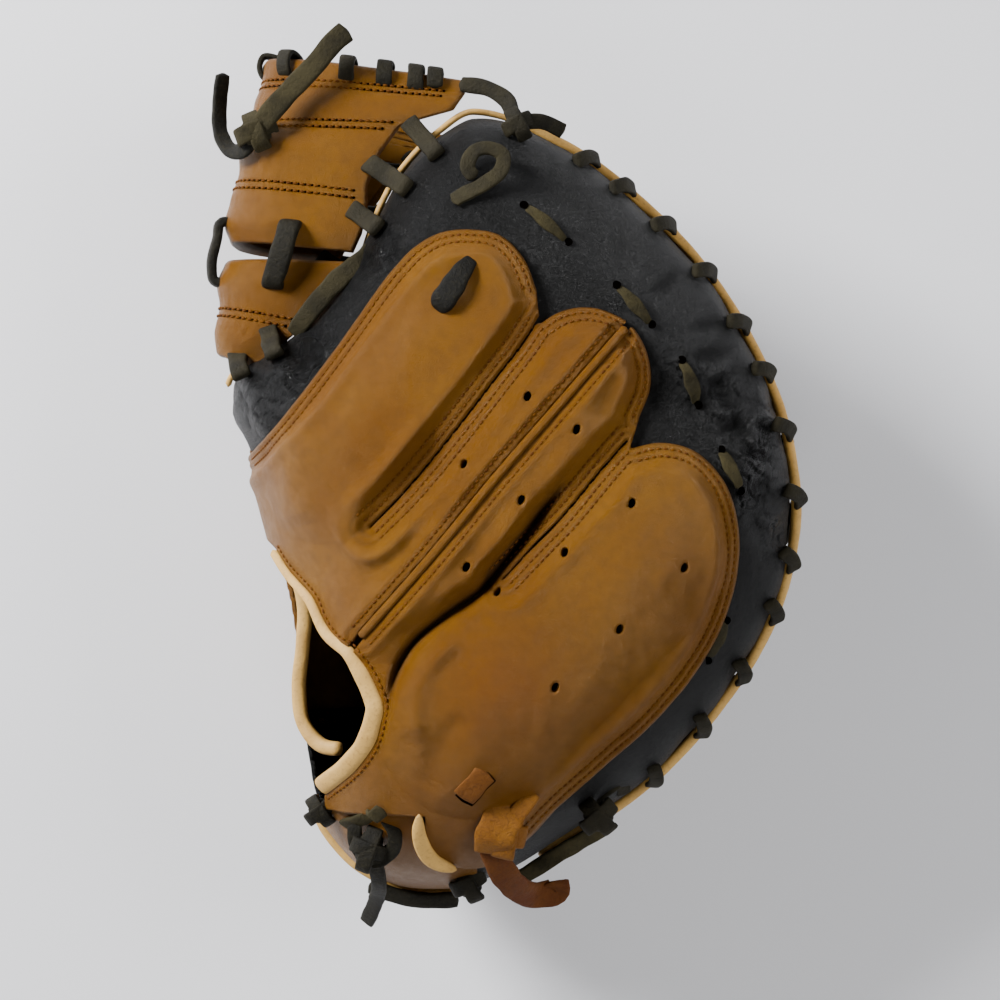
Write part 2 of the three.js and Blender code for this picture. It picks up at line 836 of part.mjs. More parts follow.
// Where a rim stands at a bearing: its edge, the way out and the way along.
function rimAt(reach, bearing) {
  const at = (b) => new THREE.Vector3(...pointAt(MIDDLE, b, reach(b), 0));
  const along = at(bearing + 1).sub(at(bearing - 1)).normalize();
  return { edge: at(bearing), along, out: new THREE.Vector3(along.y, -along.x, 0) };
}

// A point a little off the plate's upper or lower face, at a distance inside its rim.
function offFace({ reach, level, side }, rim, distance, lift) {
  const height = (d) => {
    const p = rim.edge.clone().addScaledVector(rim.out, -d);
    const bearing = bearingOf(p.x, p.y);
    const share = Math.hypot(p.x - MIDDLE.x, p.y - MIDDLE.y) / reach(bearing);
    return level(bearing, Math.min(1, share));
  };
  const slope = (height(distance + 0.4) - height(Math.max(0, distance - 0.4))) / 0.8;
  const tilt = Math.hypot(1, slope);
  const outward = (side * slope * lift) / tilt;
  return rim.edge
    .clone()
    .addScaledVector(rim.out, outward - distance)
    .setZ(height(distance) + (side * lift) / tilt);
}

// The lace over a run of bearings, and the blocks that its ways through the plate are cut with.
const RIM_STITCH = { outside: PIPING_RADIUS + 2.2, half: 2.2 };
function whipStitch({ reach, seam, upper, lower, bearings, outside, half }) {
  const points = [];
  const guides = [];
  const tunnels = [];
  const put = (point, along) => {
    points.push(point);
    guides.push(along);
  };
  const top = { reach, level: upper, side: 1 };
  const under = { reach, level: lower, side: -1 };
  bearings.forEach((bearing, i) => {
    const rim = rimAt(reach, bearing);
    const level = seam(bearing);
    const high = offFace(top, rim, STITCH_INSET, STITCH_LIFT);
    const low = offFace(under, rim, STITCH_INSET, STITCH_LIFT);
    if (i > 0) {
      put(low, rim.along);
      const [from, to] = [low.clone().setZ(low.z - 3), high.clone().setZ(high.z + 3)];
      const section = flatSection(TUNNEL.width, TUNNEL.thickness);
      tunnels.push(sweep([from, to], [rim.along, rim.along], section));
    }
    put(high, rim.along);
    put(offFace(top, rim, 3.2, STITCH_LIFT), rim.along);
    const corner = rim.edge.clone().addScaledVector(rim.out, outside);
    put(corner.clone().setZ(level + half), rim.along);
    if (i + 1 < bearings.length) {
      put(corner.clone().setZ(level - half), rim.along);
      if (outside > WEB_OUTSIDE) {
        const section = flatSection(TUNNEL.width, TUNNEL.thickness);
        const ends = [corner.clone().setZ(level - 12), corner.clone().setZ(level + 12)];
        tunnels.push(sweep(ends, [rim.along, rim.along], section));
      }
      const next = rimAt(reach, bearing + (bearings[i + 1] - bearing) * 0.4);
      put(offFace(under, next, 3.6, STITCH_LIFT + 0.8), next.along);
    }
  });
  return { lace: sweep(points, guides, flatSection(LACE_WIDTH, LACE_THICKNESS)), tunnels };
}
const spread = ({ from, to, count }) =>
  [...Array(count).keys()].map((k) => from + ((to - from) * k) / (count - 1));

const fingerRim = {
  reach: fingerReach,
  seam: fingerSeam,
  upper: swell(fingerSeam, CROWN),
  lower: swell(fingerSeam, POCKET_ROOF),
};
const thumbRim = {
  reach: thumbReach,
  seam: thumbSeam,
  upper: swell(thumbSeam, POCKET_FLOOR),
  lower: pressedFlat(thumbSeam),
};
const webStitch = { outside: WEB_OUTSIDE + 6, half: WEB_THICKNESS / 2 + STITCH_LIFT + 1.4 };
const laces = {
  finger_rim_lace: whipStitch({ ...fingerRim, ...RIM_STITCH, bearings: spread(FINGER_RIM_STITCHES) }),
  thumb_rim_lace: whipStitch({ ...thumbRim, ...RIM_STITCH, bearings: spread(THUMB_RIM_STITCHES) }),
  web_finger_lace: whipStitch({ ...fingerRim, ...webStitch, bearings: WEB_FINGER_STITCHES }),
  web_thumb_lace: whipStitch({ ...thumbRim, ...webStitch, bearings: WEB_THUMB_STITCHES }),
};
for (const [name, { lace }] of Object.entries(laces)) add(name, lace, LACE);
const tunnels = Object.values(laces).flatMap((made) => made.tunnels);
const cutTunnels = (made) => tunnels.reduce((whole, tunnel) => whole.subtract(tunnel), made);

// Piping: round cord along the rims
function piping(reach, seam, bearings) {
  const rim = bearings.map((b) => pointAt(MIDDLE, b, reach(b) + PIPING_PROUD, seam(b)));
  const points = rim.map((row) => new THREE.Vector3(...row));
  const up = points.map(() => new THREE.Vector3(0, 0, 1));
  return sweep(points, up, roundSection(5, 2 * PIPING_RADIUS, 2 * PIPING_RADIUS));
}
// Piping bends at the same bearings as the plates
for (const [name, { from, to }] of Object.entries(PIPINGS)) {
  const count = Math.abs(from - to) / (360 / BEARING_STEPS) + 1;
  const onThumb = name === "thumb_piping";
  const [reach, seam] = onThumb ? [thumbReach, thumbSeam] : [fingerReach, fingerSeam];
  add(name, piping(reach, seam, spread({ from, to, count })), CREAM);
}

// Padding: finger pad, thumb pad and the padded wall between them, less the hand's room and the pocket
const underShell = SHELL + PADDING_CLEAR;
const thumbUnderShell = underShell - 0.4;
const hingeReach = (bearing) => Math.min(fingerReach(bearing), thumbReach(bearing)) - WALL_INSET;
const hinge = envelope(hingeReach, fingerSeam, underShell, PADDING_RINGS);
const wallOutline = [
  [WALL_FAR_LEFT, 30],
  ...WALL_OUTER,
  ...WALL_HEEL,
  ...WALL_INNER,
  [WALL_FAR_LEFT, 60],
];
const wall = prism(wallOutline, WALL_LEVELS.low, WALL_LEVELS.high);
const fingerRoom = prism(FINGER_ROOM_TIP, FINGER_ROOM_FLOOR, 200);
const thumbRoom = prism(THUMB_ROOM_TIP, -20, THUMB_ROOM_ROOF);
const wristRoom = prism([[-120, 24], ...WALL_OUTER, [-120, -108]]);
const pocketLevel = (far) => (bearing, share) =>
  POCKET_LEVEL + (far - POCKET_LEVEL) * (1 - share ** 2.4);
const pocket = plate({
  middle: POCKET_MIDDLE,
  reach: reachOf(POCKET_RIM, POCKET_MIDDLE),
  top: pocketLevel(POCKET_TOP),
  bottom: pocketLevel(POCKET_BOTTOM),
  rings: [0.45, 0.8, 1],
  steps: 20,
});
const fingerPad = fingerPlate(0, PADDING_RINGS)
  .intersect(belowFingerSeam)
  .add(fingerPlate(underShell, PADDING_RINGS))
  .intersect(aboveThumbSeam)
  .subtract(fingerRoom)
  .subtract(wristRoom)
  .subtract(pocket);
const thumbPad = thumbPlate(0, PADDING_RINGS)
  .intersect(aboveThumbSeam)
  .add(thumbPlate(thumbUnderShell, PADDING_RINGS))
  .subtract(thumbRoom)
  .subtract(wristRoom)
  .subtract(pocket);
const paddedWall = wall
  .intersect(hinge)
  .subtract(fingerPlate(0, PADDING_RINGS, -CLEAR))
  .subtract(fingerPlate(underShell, PADDING_RINGS, -CLEAR))
  .subtract(thumbPlate(thumbUnderShell, PADDING_RINGS))
  .subtract(thumbPlate(thumbUnderShell, PADDING_RINGS, CLEAR))
  .subtract(wristRoom)
  .subtract(pocket);
add("finger_pad", cutTunnels(fingerPad), BLACK);
add("thumb_pad", cutTunnels(thumbPad), BLACK);
add("padded_wall", paddedWall, BLACK);

// Tan back of the fingers: two pieces of leather joined at the centre seam
const sheet = backSheet();
const indexOutline = [
  ...INDEX_EDGE,
  ...INDEX_TIP,
  ...MIDDLE_TIP.slice(0, 3),
  ...beside(CENTRE_SEAM, -WELT_WIDTH / 2 - CLEAR),
  ...WRIST_EDGE.slice(8),
];
const littleOutline = [
  ...MIDDLE_TIP.slice(3),
  ...LITTLE_TIP,
  ...HEEL_FLAP,
  ...WRIST_EDGE.slice(0, 7),
  ...beside(CENTRE_SEAM, WELT_WIDTH / 2 + CLEAR).reverse(),
];
const slitCut = (line) => prism(strip(line, SLIT_WIDTH));
add("index_back", sheet.intersect(prism(indexOutline)).subtract(slitCut(INDEX_SLIT)), TAN);
add("little_back", sheet.intersect(prism(littleOutline)).subtract(slitCut(LITTLE_SLIT)), TAN);

// Raised welt along the centre seam, between the two pieces
const weltLevel = (x, y) => backHeight(x, y) + backRelief(x, y) - 0.6;
const weltPoints = CENTRE_SEAM.map(([x, y]) => new THREE.Vector3(x, y, weltLevel(x, y)));
const weltGuides = weltPoints.map(() => new THREE.Vector3(1, -1, 0).normalize());
add("seam_welt", sweep(weltPoints, weltGuides, roundSection(6, WELT_WIDTH, 3.4)), TAN);

// Black band round the lobes, heel panel at the wrist's end
const tanOutline = [
  ...INDEX_EDGE,
  ...INDEX_TIP,
  ...MIDDLE_TIP,
  ...LITTLE_TIP,
  ...HEEL_FLAP,
  [-60, -106],
  ...WRIST_EDGE,
];
const tanArea = prism(grow(tanOutline, CLEAR));
const wristOutline = [
  [-110, 14],
  INDEX_EDGE[0],
  ...WRIST_EDGE.slice().reverse(),
  [-40, -110],
  [-110, -110],
];
const wristArea = prism(wristOutline);
const fingerShell = fingerPlate(0).subtract(fingerPlate(SHELL)).intersect(aboveFingerSeam);
const fingerBand = fingerShell.subtract(tanArea).subtract(wristArea).subtract(prism(HEEL_OUTLINE));
add("finger_band", cutTunnels(fingerBand), BLACK);
const heelArea = prism(grow(HEEL_OUTLINE, -CLEAR / 2));
add("heel_panel", fingerShell.intersect(heelArea).subtract(tanArea), TAN);

// Thumb's back, which wraps up over the left side to the index finger's edge
const thumbEnvelope = (depth) => envelope(thumbReach, thumbSeam, depth);
const thumbArea = belowThumbSeam.add(prism(LEFT_SIDE, 20, 200));
const thumbShell = thumbEnvelope(0).subtract(thumbEnvelope(SHELL)).intersect(thumbArea);
add("thumb_back", thumbShell.intersect(prism(grow(THUMB_TAN, -CLEAR / 2))), TAN);
const thumbBand = thumbShell.subtract(prism(grow(THUMB_TAN, CLEAR / 2)));
add("thumb_band", cutTunnels(thumbBand), BLACK);

// Web: leather that bends round the left side from the finger rim to the thumb rim
function webSections(rows) {
  const end = (reach, seam, bearing, level) => {
    const rim = rimAt(reach, bearing);
    return rim.edge.clone().addScaledVector(rim.out, WEB_OUTSIDE).setZ(seam(bearing) + level);
  };
  return rows.map(({ bearing, x, y, roll }) => {
    const from = end(fingerReach, fingerSeam, bearing, WEB_THICKNESS / 2);
    const to = end(thumbReach, thumbSeam, bearing, -WEB_THICKNESS / 2);
    const middle = new THREE.Vector3(x, y, WEB_MIDDLE_LEVEL);
    const outline = [...Array(WEB_STEPS + 1).keys()].map((k) => {
      const turn = (Math.PI * k) / WEB_STEPS;
      const start = turn <= Math.PI / 2 ? from : to;
      const level = Math.abs(Math.cos(turn)) ** WEB_SQUARENESS;
      const out = Math.sin(turn) ** WEB_SQUARENESS;
      return new THREE.Vector3(
        start.x + (middle.x - start.x) * out,
        start.y + (middle.y - start.y) * out,
        middle.z + (start.z - middle.z) * level,
      );
    });
    return outline.map((point, k) => {
      const along = outline[Math.min(WEB_STEPS, k + 1)].clone().sub(outline[Math.max(0, k - 1)]);
      const left = middle.clone().sub(k <= WEB_STEPS / 2 ? from : to).setZ(0).normalize();
      const face = left.clone().multiplyScalar(-along.z).setZ(along.dot(left)).normalize();
      const ends = Math.sin((Math.PI * k) / WEB_STEPS) ** 0.5;
      return { outer: point.clone().addScaledVector(face, roll * ends), face, along: along.normalize() };
    });
  });
}
function webPiece(sections) {
  const positions = [];
  for (const depth of [0, WEB_THICKNESS]) {
    for (const section of sections) {
      for (const { outer, face } of section) {
        positions.push(outer.clone().addScaledVector(face, -depth).toArray());
      }
    }
  }
  const across = WEB_STEPS + 1;
  const at = (r, k, inner) => (inner ? sections.length * across : 0) + r * across + k;
  const triangles = [];
  for (let r = 0; r + 1 < sections.length; r += 1) {
    for (let k = 0; k < WEB_STEPS; k += 1) {
      triangles.push([at(r, k), at(r, k + 1), at(r + 1, k + 1)]);
      triangles.push([at(r, k), at(r + 1, k + 1), at(r + 1, k)]);
      triangles.push([at(r, k, true), at(r + 1, k + 1, true), at(r, k + 1, true)]);
      triangles.push([at(r, k, true), at(r + 1, k, true), at(r + 1, k + 1, true)]);
    }
  }
  const wallBetween = (r1, k1, r2, k2) => {
    triangles.push([at(r1, k1), at(r1, k1, true), at(r2, k2, true)]);
    triangles.push([at(r1, k1), at(r2, k2, true), at(r2, k2)]);
  };
  const lastRow = sections.length - 1;
  for (let k = 0; k < WEB_STEPS; k += 1) {
    wallBetween(0, k, 0, k + 1);
    wallBetween(lastRow, k + 1, lastRow, k);
  }
  for (let r = 0; r < lastRow; r += 1) {
    wallBetween(r + 1, 0, r, 0);
    wallBetween(r, WEB_STEPS, r + 1, WEB_STEPS);
  }
  return solid(positions, triangles);
}
const upperWeb = webSections(WEB_UPPER);
const lowerWeb = webSections(WEB_LOWER);

// Lace round the web's top edge
const topLace = { points: [], guides: [], tunnels: [] };
WEB_TOP_STITCHES.forEach((k, i) => {
  const { outer, face, along } = upperWeb[0][k];
  const upward = outer.clone().sub(upperWeb[2][k].outer).normalize();
  const at = (up, out) => outer.clone().addScaledVector(upward, up).addScaledVector(face, out);
  const inside = -WEB_THICKNESS - STITCH_LIFT - 1;
  if (i > 0) {
    topLace.points.push(at(-6, inside));
    const block = flatSection(TUNNEL.width, TUNNEL.thickness);
    topLace.tunnels.push(sweep([at(-6, inside - 3), at(-6, STITCH_LIFT + 3)], [along, along], block));
  }
  topLace.points.push(at(-6, STITCH_LIFT + 0.4), at(2.4, STITCH_LIFT));
  if (i + 1 < WEB_TOP_STITCHES.length) topLace.points.push(at(2.4, inside));
  while (topLace.guides.length < topLace.points.length) topLace.guides.push(along);
});
add("web_top_lace", sweep(topLace.points, topLace.guides, flatSection(LACE_WIDTH, LACE_THICKNESS)), LACE);
const upperWebSolid = topLace.tunnels.reduce((whole, block) => whole.subtract(block), webPiece(upperWeb));
add("web_upper", cutTunnels(upperWebSolid), TAN);
add("web_lower", cutTunnels(webPiece(lowerWeb)), TAN);

// Two loops of lace that hold the web's pieces together
for (const { name, step } of WEB_LOOPS) {
  const rows = [...upperWeb.slice(-2), ...lowerWeb.slice(0, 2)];
  const stations = rows.map((row) => row[step]);
  const lifts = [STITCH_LIFT - 0.4, STITCH_LIFT + 2, STITCH_LIFT + 2, STITCH_LIFT - 0.4];
  const points = stations.map(({ outer, face }, i) => outer.clone().addScaledVector(face, lifts[i]));
  const guides = stations.map(({ along }) => along);
  add(name, sweep(points, guides, flatSection(LACE_WIDTH, LACE_THICKNESS)), LACE);
}

// Bindings of the wrist opening and of the heel flap
function bindingBeside(line, distance, { width, thickness }, heightAt) {
  const places = beside(line, distance);
  const points = places.map(([x, y], i) => new THREE.Vector3(x, y, heightAt(x, y, line[i])));
  const guides = points.map((_, i) => {
    const ahead = points[Math.min(points.length - 1, i + 1)].clone().sub(points[Math.max(0, i - 1)]);
    return new THREE.Vector3(-ahead.y, ahead.x, 0).normalize();
  });
  return sweep(points, guides, roundSection(6, width, thickness));
}
const edgeHeight = (x, y, [ex, ey]) => backHeight(ex, ey) + backRelief(ex, ey) - SHELL / 2;
const upperBinding = bindingBeside(WRIST_EDGE, BINDING.width / 2 + CLEAR, BINDING, edgeHeight);
add("upper_wrist_binding", upperBinding, CREAM);
const lowerLift = CLEAR + LOWER_BINDING.thickness / 2;
const lowerRows = spread({ ...LOWER_BINDING, count: 7 }).map((b) =>
  pointAt(MIDDLE, b, fingerReach(b) - SHELL / 2, fingerSeam(b) + lowerLift),
);
const lowerBinding = [...lowerRows, ...LOWER_BINDING_END].map((row) => new THREE.Vector3(...row));
const upright = lowerBinding.map(() => new THREE.Vector3(0, 0, 1));
const lowerSection = roundSection(6, LOWER_BINDING.thickness, LOWER_BINDING.thickness);
add("lower_wrist_binding", sweep(lowerBinding, upright, lowerSection), CREAM);
const flapHeight = (x, y) => backHeight(x, y) + FLAP_BINDING.thickness / 2 + 2;
const flapBinding = bindingBeside(HEEL_FLAP, FLAP_BINDING.width / 2 + CLEAR, FLAP_BINDING, flapHeight);
add("flap_binding", flapBinding, CREAM);

// Short laces on the back
function surfaceNormal(x, y) {
  const z = (dx, dy) => backHeight(x + dx, y + dy) + backRelief(x + dx, y + dy);
  return new THREE.Vector3((z(-1, 0) - z(1, 0)) / 2, (z(0, -1) - z(0, 1)) / 2, 1).normalize();
}
function overBack(x, y, lift) {
  const surface = new THREE.Vector3(x, y, backHeight(x, y) + Math.max(0, backRelief(x, y)));
  return surface.addScaledVector(surfaceNormal(x, y), lift);
}
function laceOverBack(line, lift, width = LACE_WIDTH, thickness = LACE_THICKNESS) {
  const points = line.map(([x, y]) => overBack(x, y, lift));
  const guides = points.map((_, i) => {
    const ahead = points[Math.min(points.length - 1, i + 1)].clone().sub(points[Math.max(0, i - 1)]);
    return new THREE.Vector3().crossVectors(surfaceNormal(...line[i]), ahead).normalize();
  });
  return sweep(points, guides, flatSection(width, thickness));
}
for (const { name, x1, y1, x2, y2 } of BARS) {
  const line = [
    [x1, y1],
    [(x1 + x2) / 2, (y1 + y2) / 2],
    [x2, y2],
  ];
  add(name, laceOverBack(line, LYING_LIFT), LACE);
}
add("curl_lace", laceOverBack(CURL, LYING_LIFT + 0.3), LACE);
const slotLine = [
  [STRAP_SLOT.x1, STRAP_SLOT.y1],
  [STRAP_SLOT.x2, STRAP_SLOT.y2],
];
const slotLift = STRAP_SLOT.thickness / 2 + 0.6;
add("strap_slot", laceOverBack(slotLine, slotLift, STRAP_SLOT.width, STRAP_SLOT.thickness), RAWHIDE);

// A knot: a faceted lump lying on a surface
function knot(centre, normal, { across, along, high, turn = 0 }) {
  const geometry = new THREE.DodecahedronGeometry(1, 0);
  geometry.rotateZ(radians(10)).scale(across / 2, along / 2, high / 2).rotateZ(radians(turn));
  const stand = new THREE.Quaternion().setFromUnitVectors(new THREE.Vector3(0, 0, 1), normal);
  geometry.applyQuaternion(stand).translate(centre.x, centre.y, centre.z);
  return solidOf(geometry);
}
const knotOverBack = (size) =>
  knot(overBack(size.x, size.y, size.high / 2 - (size.sunk ?? 0)), surfaceNormal(size.x, size.y), size);
const SKY = new THREE.Vector3(0, 0, 1);

// Laces along the rim, lying just outside its piping
for (const { name, ...bearings } of RIM_LACES) {
  const rows = spread(bearings).map((b) => {
    const { edge, out } = rimAt(fingerReach, b);
    const place = edge.addScaledVector(out, RIM_LACE_PLACE.outside);
    return place.setZ(fingerSeam(b) + RIM_LACE_PLACE.above).toArray();
  });
  add(name, laceThrough(rows), LACE);
}

// Knots with their loose ends
const webKnot = knot(new THREE.Vector3(WEB_KNOT.x, WEB_KNOT.y, WEB_KNOT.z), SKY, WEB_KNOT);
add("web_knot", webKnot.add(laceThrough(WEB_LONG_TAIL, 7)).add(laceThrough(WEB_SHORT_TAIL, 5)), LACE);
add("fingertip_knot", knotOverBack(KNOTS.fingertip).add(laceThrough(FINGERTIP_LACE, 5)), LACE);
add("heel_knot", knotOverBack(KNOTS.heel).add(laceThrough(HEEL_TAIL, 5)), LACE);
add("wrist_knot", knotOverBack(KNOTS.wrist), LACE);
add("heel_olive_lace", laceOverBack(HEEL_OLIVE_LACE, LYING_LIFT, 5), LACE);
add("rim_knot", knotOverBack(KNOTS.rim), LACE);
add("strap", knotOverBack(KNOTS.strap).add(laceThrough(STRAP_TAIL, 9, 1.8)), RAWHIDE);
add("index_edge_lace", laceOverBack(INDEX_EDGE_LACE, LYING_LIFT, 7), LACE);

// The origin is under the middle of the mitt, on the surface that it lies on.
const box = new THREE.Box3().setFromObject(mitt);
const centre = box.getCenter(new THREE.Vector3());
mitt.position.set(-centre.x, -centre.y, -box.min.z);

export default mitt;
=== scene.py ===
import bpy
import numpy as np
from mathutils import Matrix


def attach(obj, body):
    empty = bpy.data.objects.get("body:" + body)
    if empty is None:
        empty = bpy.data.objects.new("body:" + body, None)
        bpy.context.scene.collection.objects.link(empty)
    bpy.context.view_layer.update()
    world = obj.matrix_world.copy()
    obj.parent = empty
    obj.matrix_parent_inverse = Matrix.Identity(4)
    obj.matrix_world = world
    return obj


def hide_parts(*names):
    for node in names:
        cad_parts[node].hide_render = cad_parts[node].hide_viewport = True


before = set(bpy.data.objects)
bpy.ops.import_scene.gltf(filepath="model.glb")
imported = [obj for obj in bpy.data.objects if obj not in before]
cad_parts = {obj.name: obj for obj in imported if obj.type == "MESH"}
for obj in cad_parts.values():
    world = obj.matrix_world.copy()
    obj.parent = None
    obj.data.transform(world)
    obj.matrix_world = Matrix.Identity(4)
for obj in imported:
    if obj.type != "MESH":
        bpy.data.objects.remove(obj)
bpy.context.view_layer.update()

# Camera, floor and light. The camera looks straight down from 0.9 m, as the photograph was taken.
# Every table below is in millimetres from the camera's axis, with +X right, +Y up and +Z to the
# camera, and metres() brings it into the frame.
AXIS = np.array([-2.801, -4.405, 0.0])
CAMERA_HEIGHT = 0.9
VIEW_WIDTH = 0.381
SENSOR = 36.0


def metres(points):
    """Millimetres from the camera's axis to metres in the frame: add the axis's place, divide by 1000."""
    return (np.asarray(points, float) + AXIS) / 1000


camera = bpy.data.objects.new("camera", bpy.data.cameras.new("camera"))
camera.data.sensor_width = SENSOR
camera.data.lens = SENSOR * CAMERA_HEIGHT / VIEW_WIDTH
camera.location = (AXIS[0] / 1000, AXIS[1] / 1000, CAMERA_HEIGHT)
bpy.context.scene.collection.objects.link(camera)
bpy.context.scene.camera = camera


def fill(tree, node, values):
    """Sets a node's sockets: a value that is itself a socket is linked, any other is put in."""
    for name, value in values.items():
        if isinstance(value, bpy.types.NodeSocket):
            tree.links.new(value, node.inputs[name])
        else:
            node.inputs[name].default_value = value


def shader(tree, kind, values=None, **settings):
    """A new node with its settings and its sockets' values."""
    made = tree.nodes.new("ShaderNode" + kind)
    for name, value in settings.items():
        setattr(made, name, value)
    fill(tree, made, values or {})
    return made


def noise(tree, place, scale, detail=2.0, **more):
    """The socket of a noise with so many waves a metre and so many finer ones laid over them."""
    return shader(tree, "TexNoise", {"Vector": place, "Scale": scale, "Detail": detail, **more}).outputs[0]


def bump(tree, height, strength, distance, below=None):
    """The socket of a normal tilted by a height of up to the distance, in metres, over another bump."""
    values = {"Height": height, "Strength": strength, "Distance": distance}
    if below is not None:
        values["Normal"] = below
    return shader(tree, "Bump", values).outputs[0]


def mixed(tree, factor, low, high):
    """The socket of a mix of two colours; each is a socket or three numbers."""
    values = {"Factor": factor}
    for name, colour in (("A", low), ("B", high)):
        values[name] = colour if isinstance(colour, bpy.types.NodeSocket) else (*colour, 1)
    return shader(tree, "Mix", values, data_type="RGBA").outputs["Result"]


def new_finish(name):
    """An empty material, its node tree, its shader and the object coordinates in metres."""
    finish = bpy.data.materials.new(name)
    finish.use_nodes = True
    tree = finish.node_tree
    surface = tree.nodes["Principled BSDF"]
    place = shader(tree, "TexCoord").outputs["Object"]
    return finish, tree, surface, place


def sheet_finish():
    """Pale floor: two close greys in broad soft patches over a fine thread bump."""
    finish, tree, surface, place = new_finish("pale_sheet")
    tone = mixed(tree, noise(tree, place, 3.0), (0.74, 0.745, 0.78), (0.90, 0.90, 0.93))
    thread = bump(tree, noise(tree, place, 1500.0, 1.0), 0.15, 0.0002)
    fill(tree, surface, {"Base Color": tone, "Roughness": 0.9, "Normal": thread})
    return finish


FLOOR_HALF = 2.0
FLOOR_GAP = 0.0002
floor_mesh = bpy.data.meshes.new("floor")
floor_corners = [(-FLOOR_HALF, -FLOOR_HALF), (FLOOR_HALF, -FLOOR_HALF),
                 (FLOOR_HALF, FLOOR_HALF), (-FLOOR_HALF, FLOOR_HALF)]
floor_mesh.from_pydata([(x, y, -FLOOR_GAP) for x, y in floor_corners], [], [(0, 1, 2, 3)])
floor_mesh.materials.append(sheet_finish())
floor = bpy.data.objects.new("floor", floor_mesh)
bpy.context.scene.collection.objects.link(floor)

LIGHTS = [
    # name, place, size, watts
    ("window_light", (-1.08, 0.72, 0.74), 0.5, 62.0),
    ("room_light", (1.0, 0.2, 0.8), 0.7, 10.0),
    ("near_light", (0.1, -1.1, 1.1), 0.9, 9.0),
]
for light_name, light_place, light_size, watts in LIGHTS:
    lamp = bpy.data.lights.new(light_name, "AREA")
    lamp.size = light_size
    lamp.energy = watts
    light = bpy.data.objects.new(light_name, lamp)
    light.location = light_place
    aim = np.array([0.0, 0.0, 0.05]) - np.array(light_place)
    light.rotation_mode = "QUATERNION"
    light.rotation_quaternion = type(camera.location)(aim).to_track_quat("-Z", "Y")
    bpy.context.scene.collection.objects.link(light)
world = bpy.context.scene.world or bpy.data.worlds.new("world")
bpy.context.scene.world = world
world.use_nodes = True
world.node_tree.nodes["Background"].inputs["Color"].default_value = (0.84, 0.82, 0.80, 1)
world.node_tree.nodes["Background"].inputs["Strength"].default_value = 0.09


# Finger plate: the rounded body that all the back leather lies on. Its outline and the height of
# its rim seam are read round the point MIDDLE, and its dome rises from the seam to the crown.
MIDDLE = np.array([0.0, 5.0])
CROWN = 120.0
FLOOR_SINK = 1.5
ROUNDING = 3.2  # share of the height = sqrt(1 - share of the reach ** ROUNDING)
FINGER_RIM = np.array([
    # x, y, seam
    (-9, 134, 84), (21, 124, 78), (53, 100, 76), (84, 61, 76), (101, 17, 77), (103, -3, 78),
    (94, -43, 77), (75, -74, 74), (49, -102, 68), (21, -122, 57), (-9, -139, 48), (-41, -138, 45),
    (-63, -119, 46), (-71, -87, 48), (-73, -52, 51), (-79, -22, 53), (-89, 14, 55), (-96, 41, 64),
    (-83, 51, 76), (-69, 60, 82), (-55, 79, 85), (-44, 97, 86), (-33, 115, 86), (-21, 127, 86),
], float)
THUMB_RIM = np.array([
    (-14, 124, 29), (8, 120, 27), (32, 104, 26), (52, 78, 25), (66, 45, 24), (72, 12, 24),
    (72, -20, 24), (66, -52, 26), (54, -82, 29), (36, -106, 35), (14, -125, 42),
    *FINGER_RIM[10:17],
    (-96, 41, 52), (-84, 51, 42), (-70, 62, 34), (-57, 80, 31), (-46, 98, 30), (-33, 114, 29),
], float)


def round_middle(x, y):
    """Bearing in degrees, from 0 to 360, and distance of points in plan, both from MIDDLE."""
    return np.degrees(np.arctan2(y - MIDDLE[1], x - MIDDLE[0])) % 360, np.hypot(x - MIDDLE[0], y - MIDDLE[1])


def hermite(u, h, start, stop, leaving, coming):
    """Cubic Hermite piece of length h at its share u: its ends and the slopes that it has there."""
    return ((2 * u**3 - 3 * u**2 + 1) * start + (u**3 - 2 * u**2 + u) * h * leaving
            + (3 * u**2 - 2 * u**3) * stop + (u**3 - u**2) * h * coming)


def by_bearing(rows, values):
    """A closed smooth curve through the rows' values, read by bearing round MIDDLE in degrees:
    cubic Hermite pieces, whose slope at a row is taken across its two neighbours."""
    bearing, _ = round_middle(rows[:, 0], rows[:, 1])
    order = np.argsort(bearing)
    b = np.concatenate([bearing[order][-2:] - 360, bearing[order], bearing[order][:2] + 360])
    v = np.concatenate([values[order][-2:], values[order], values[order][:2]])
    slope = (v[2:] - v[:-2]) / (b[2:] - b[:-2])
    b, v = b[1:-1], v[1:-1]

    def read(at):
        at = np.asarray(at, float) % 360
        i = np.clip(np.searchsorted(b, at, side="right") - 1, 0, len(b) - 2)
        h = b[i + 1] - b[i]
        return hermite((at - b[i]) / h, h, v[i], v[i + 1], slope[i], slope[i + 1])

    return read


def reach_and_seam(rows):
    """The distance of the rim from MIDDLE and the height of its seam, both read by bearing."""
    _, reach = round_middle(rows[:, 0], rows[:, 1])
    return by_bearing(rows, reach), by_bearing(rows, rows[:, 2])


finger_reach, finger_seam = reach_and_seam(FINGER_RIM)
thumb_reach, thumb_seam = reach_and_seam(THUMB_RIM)


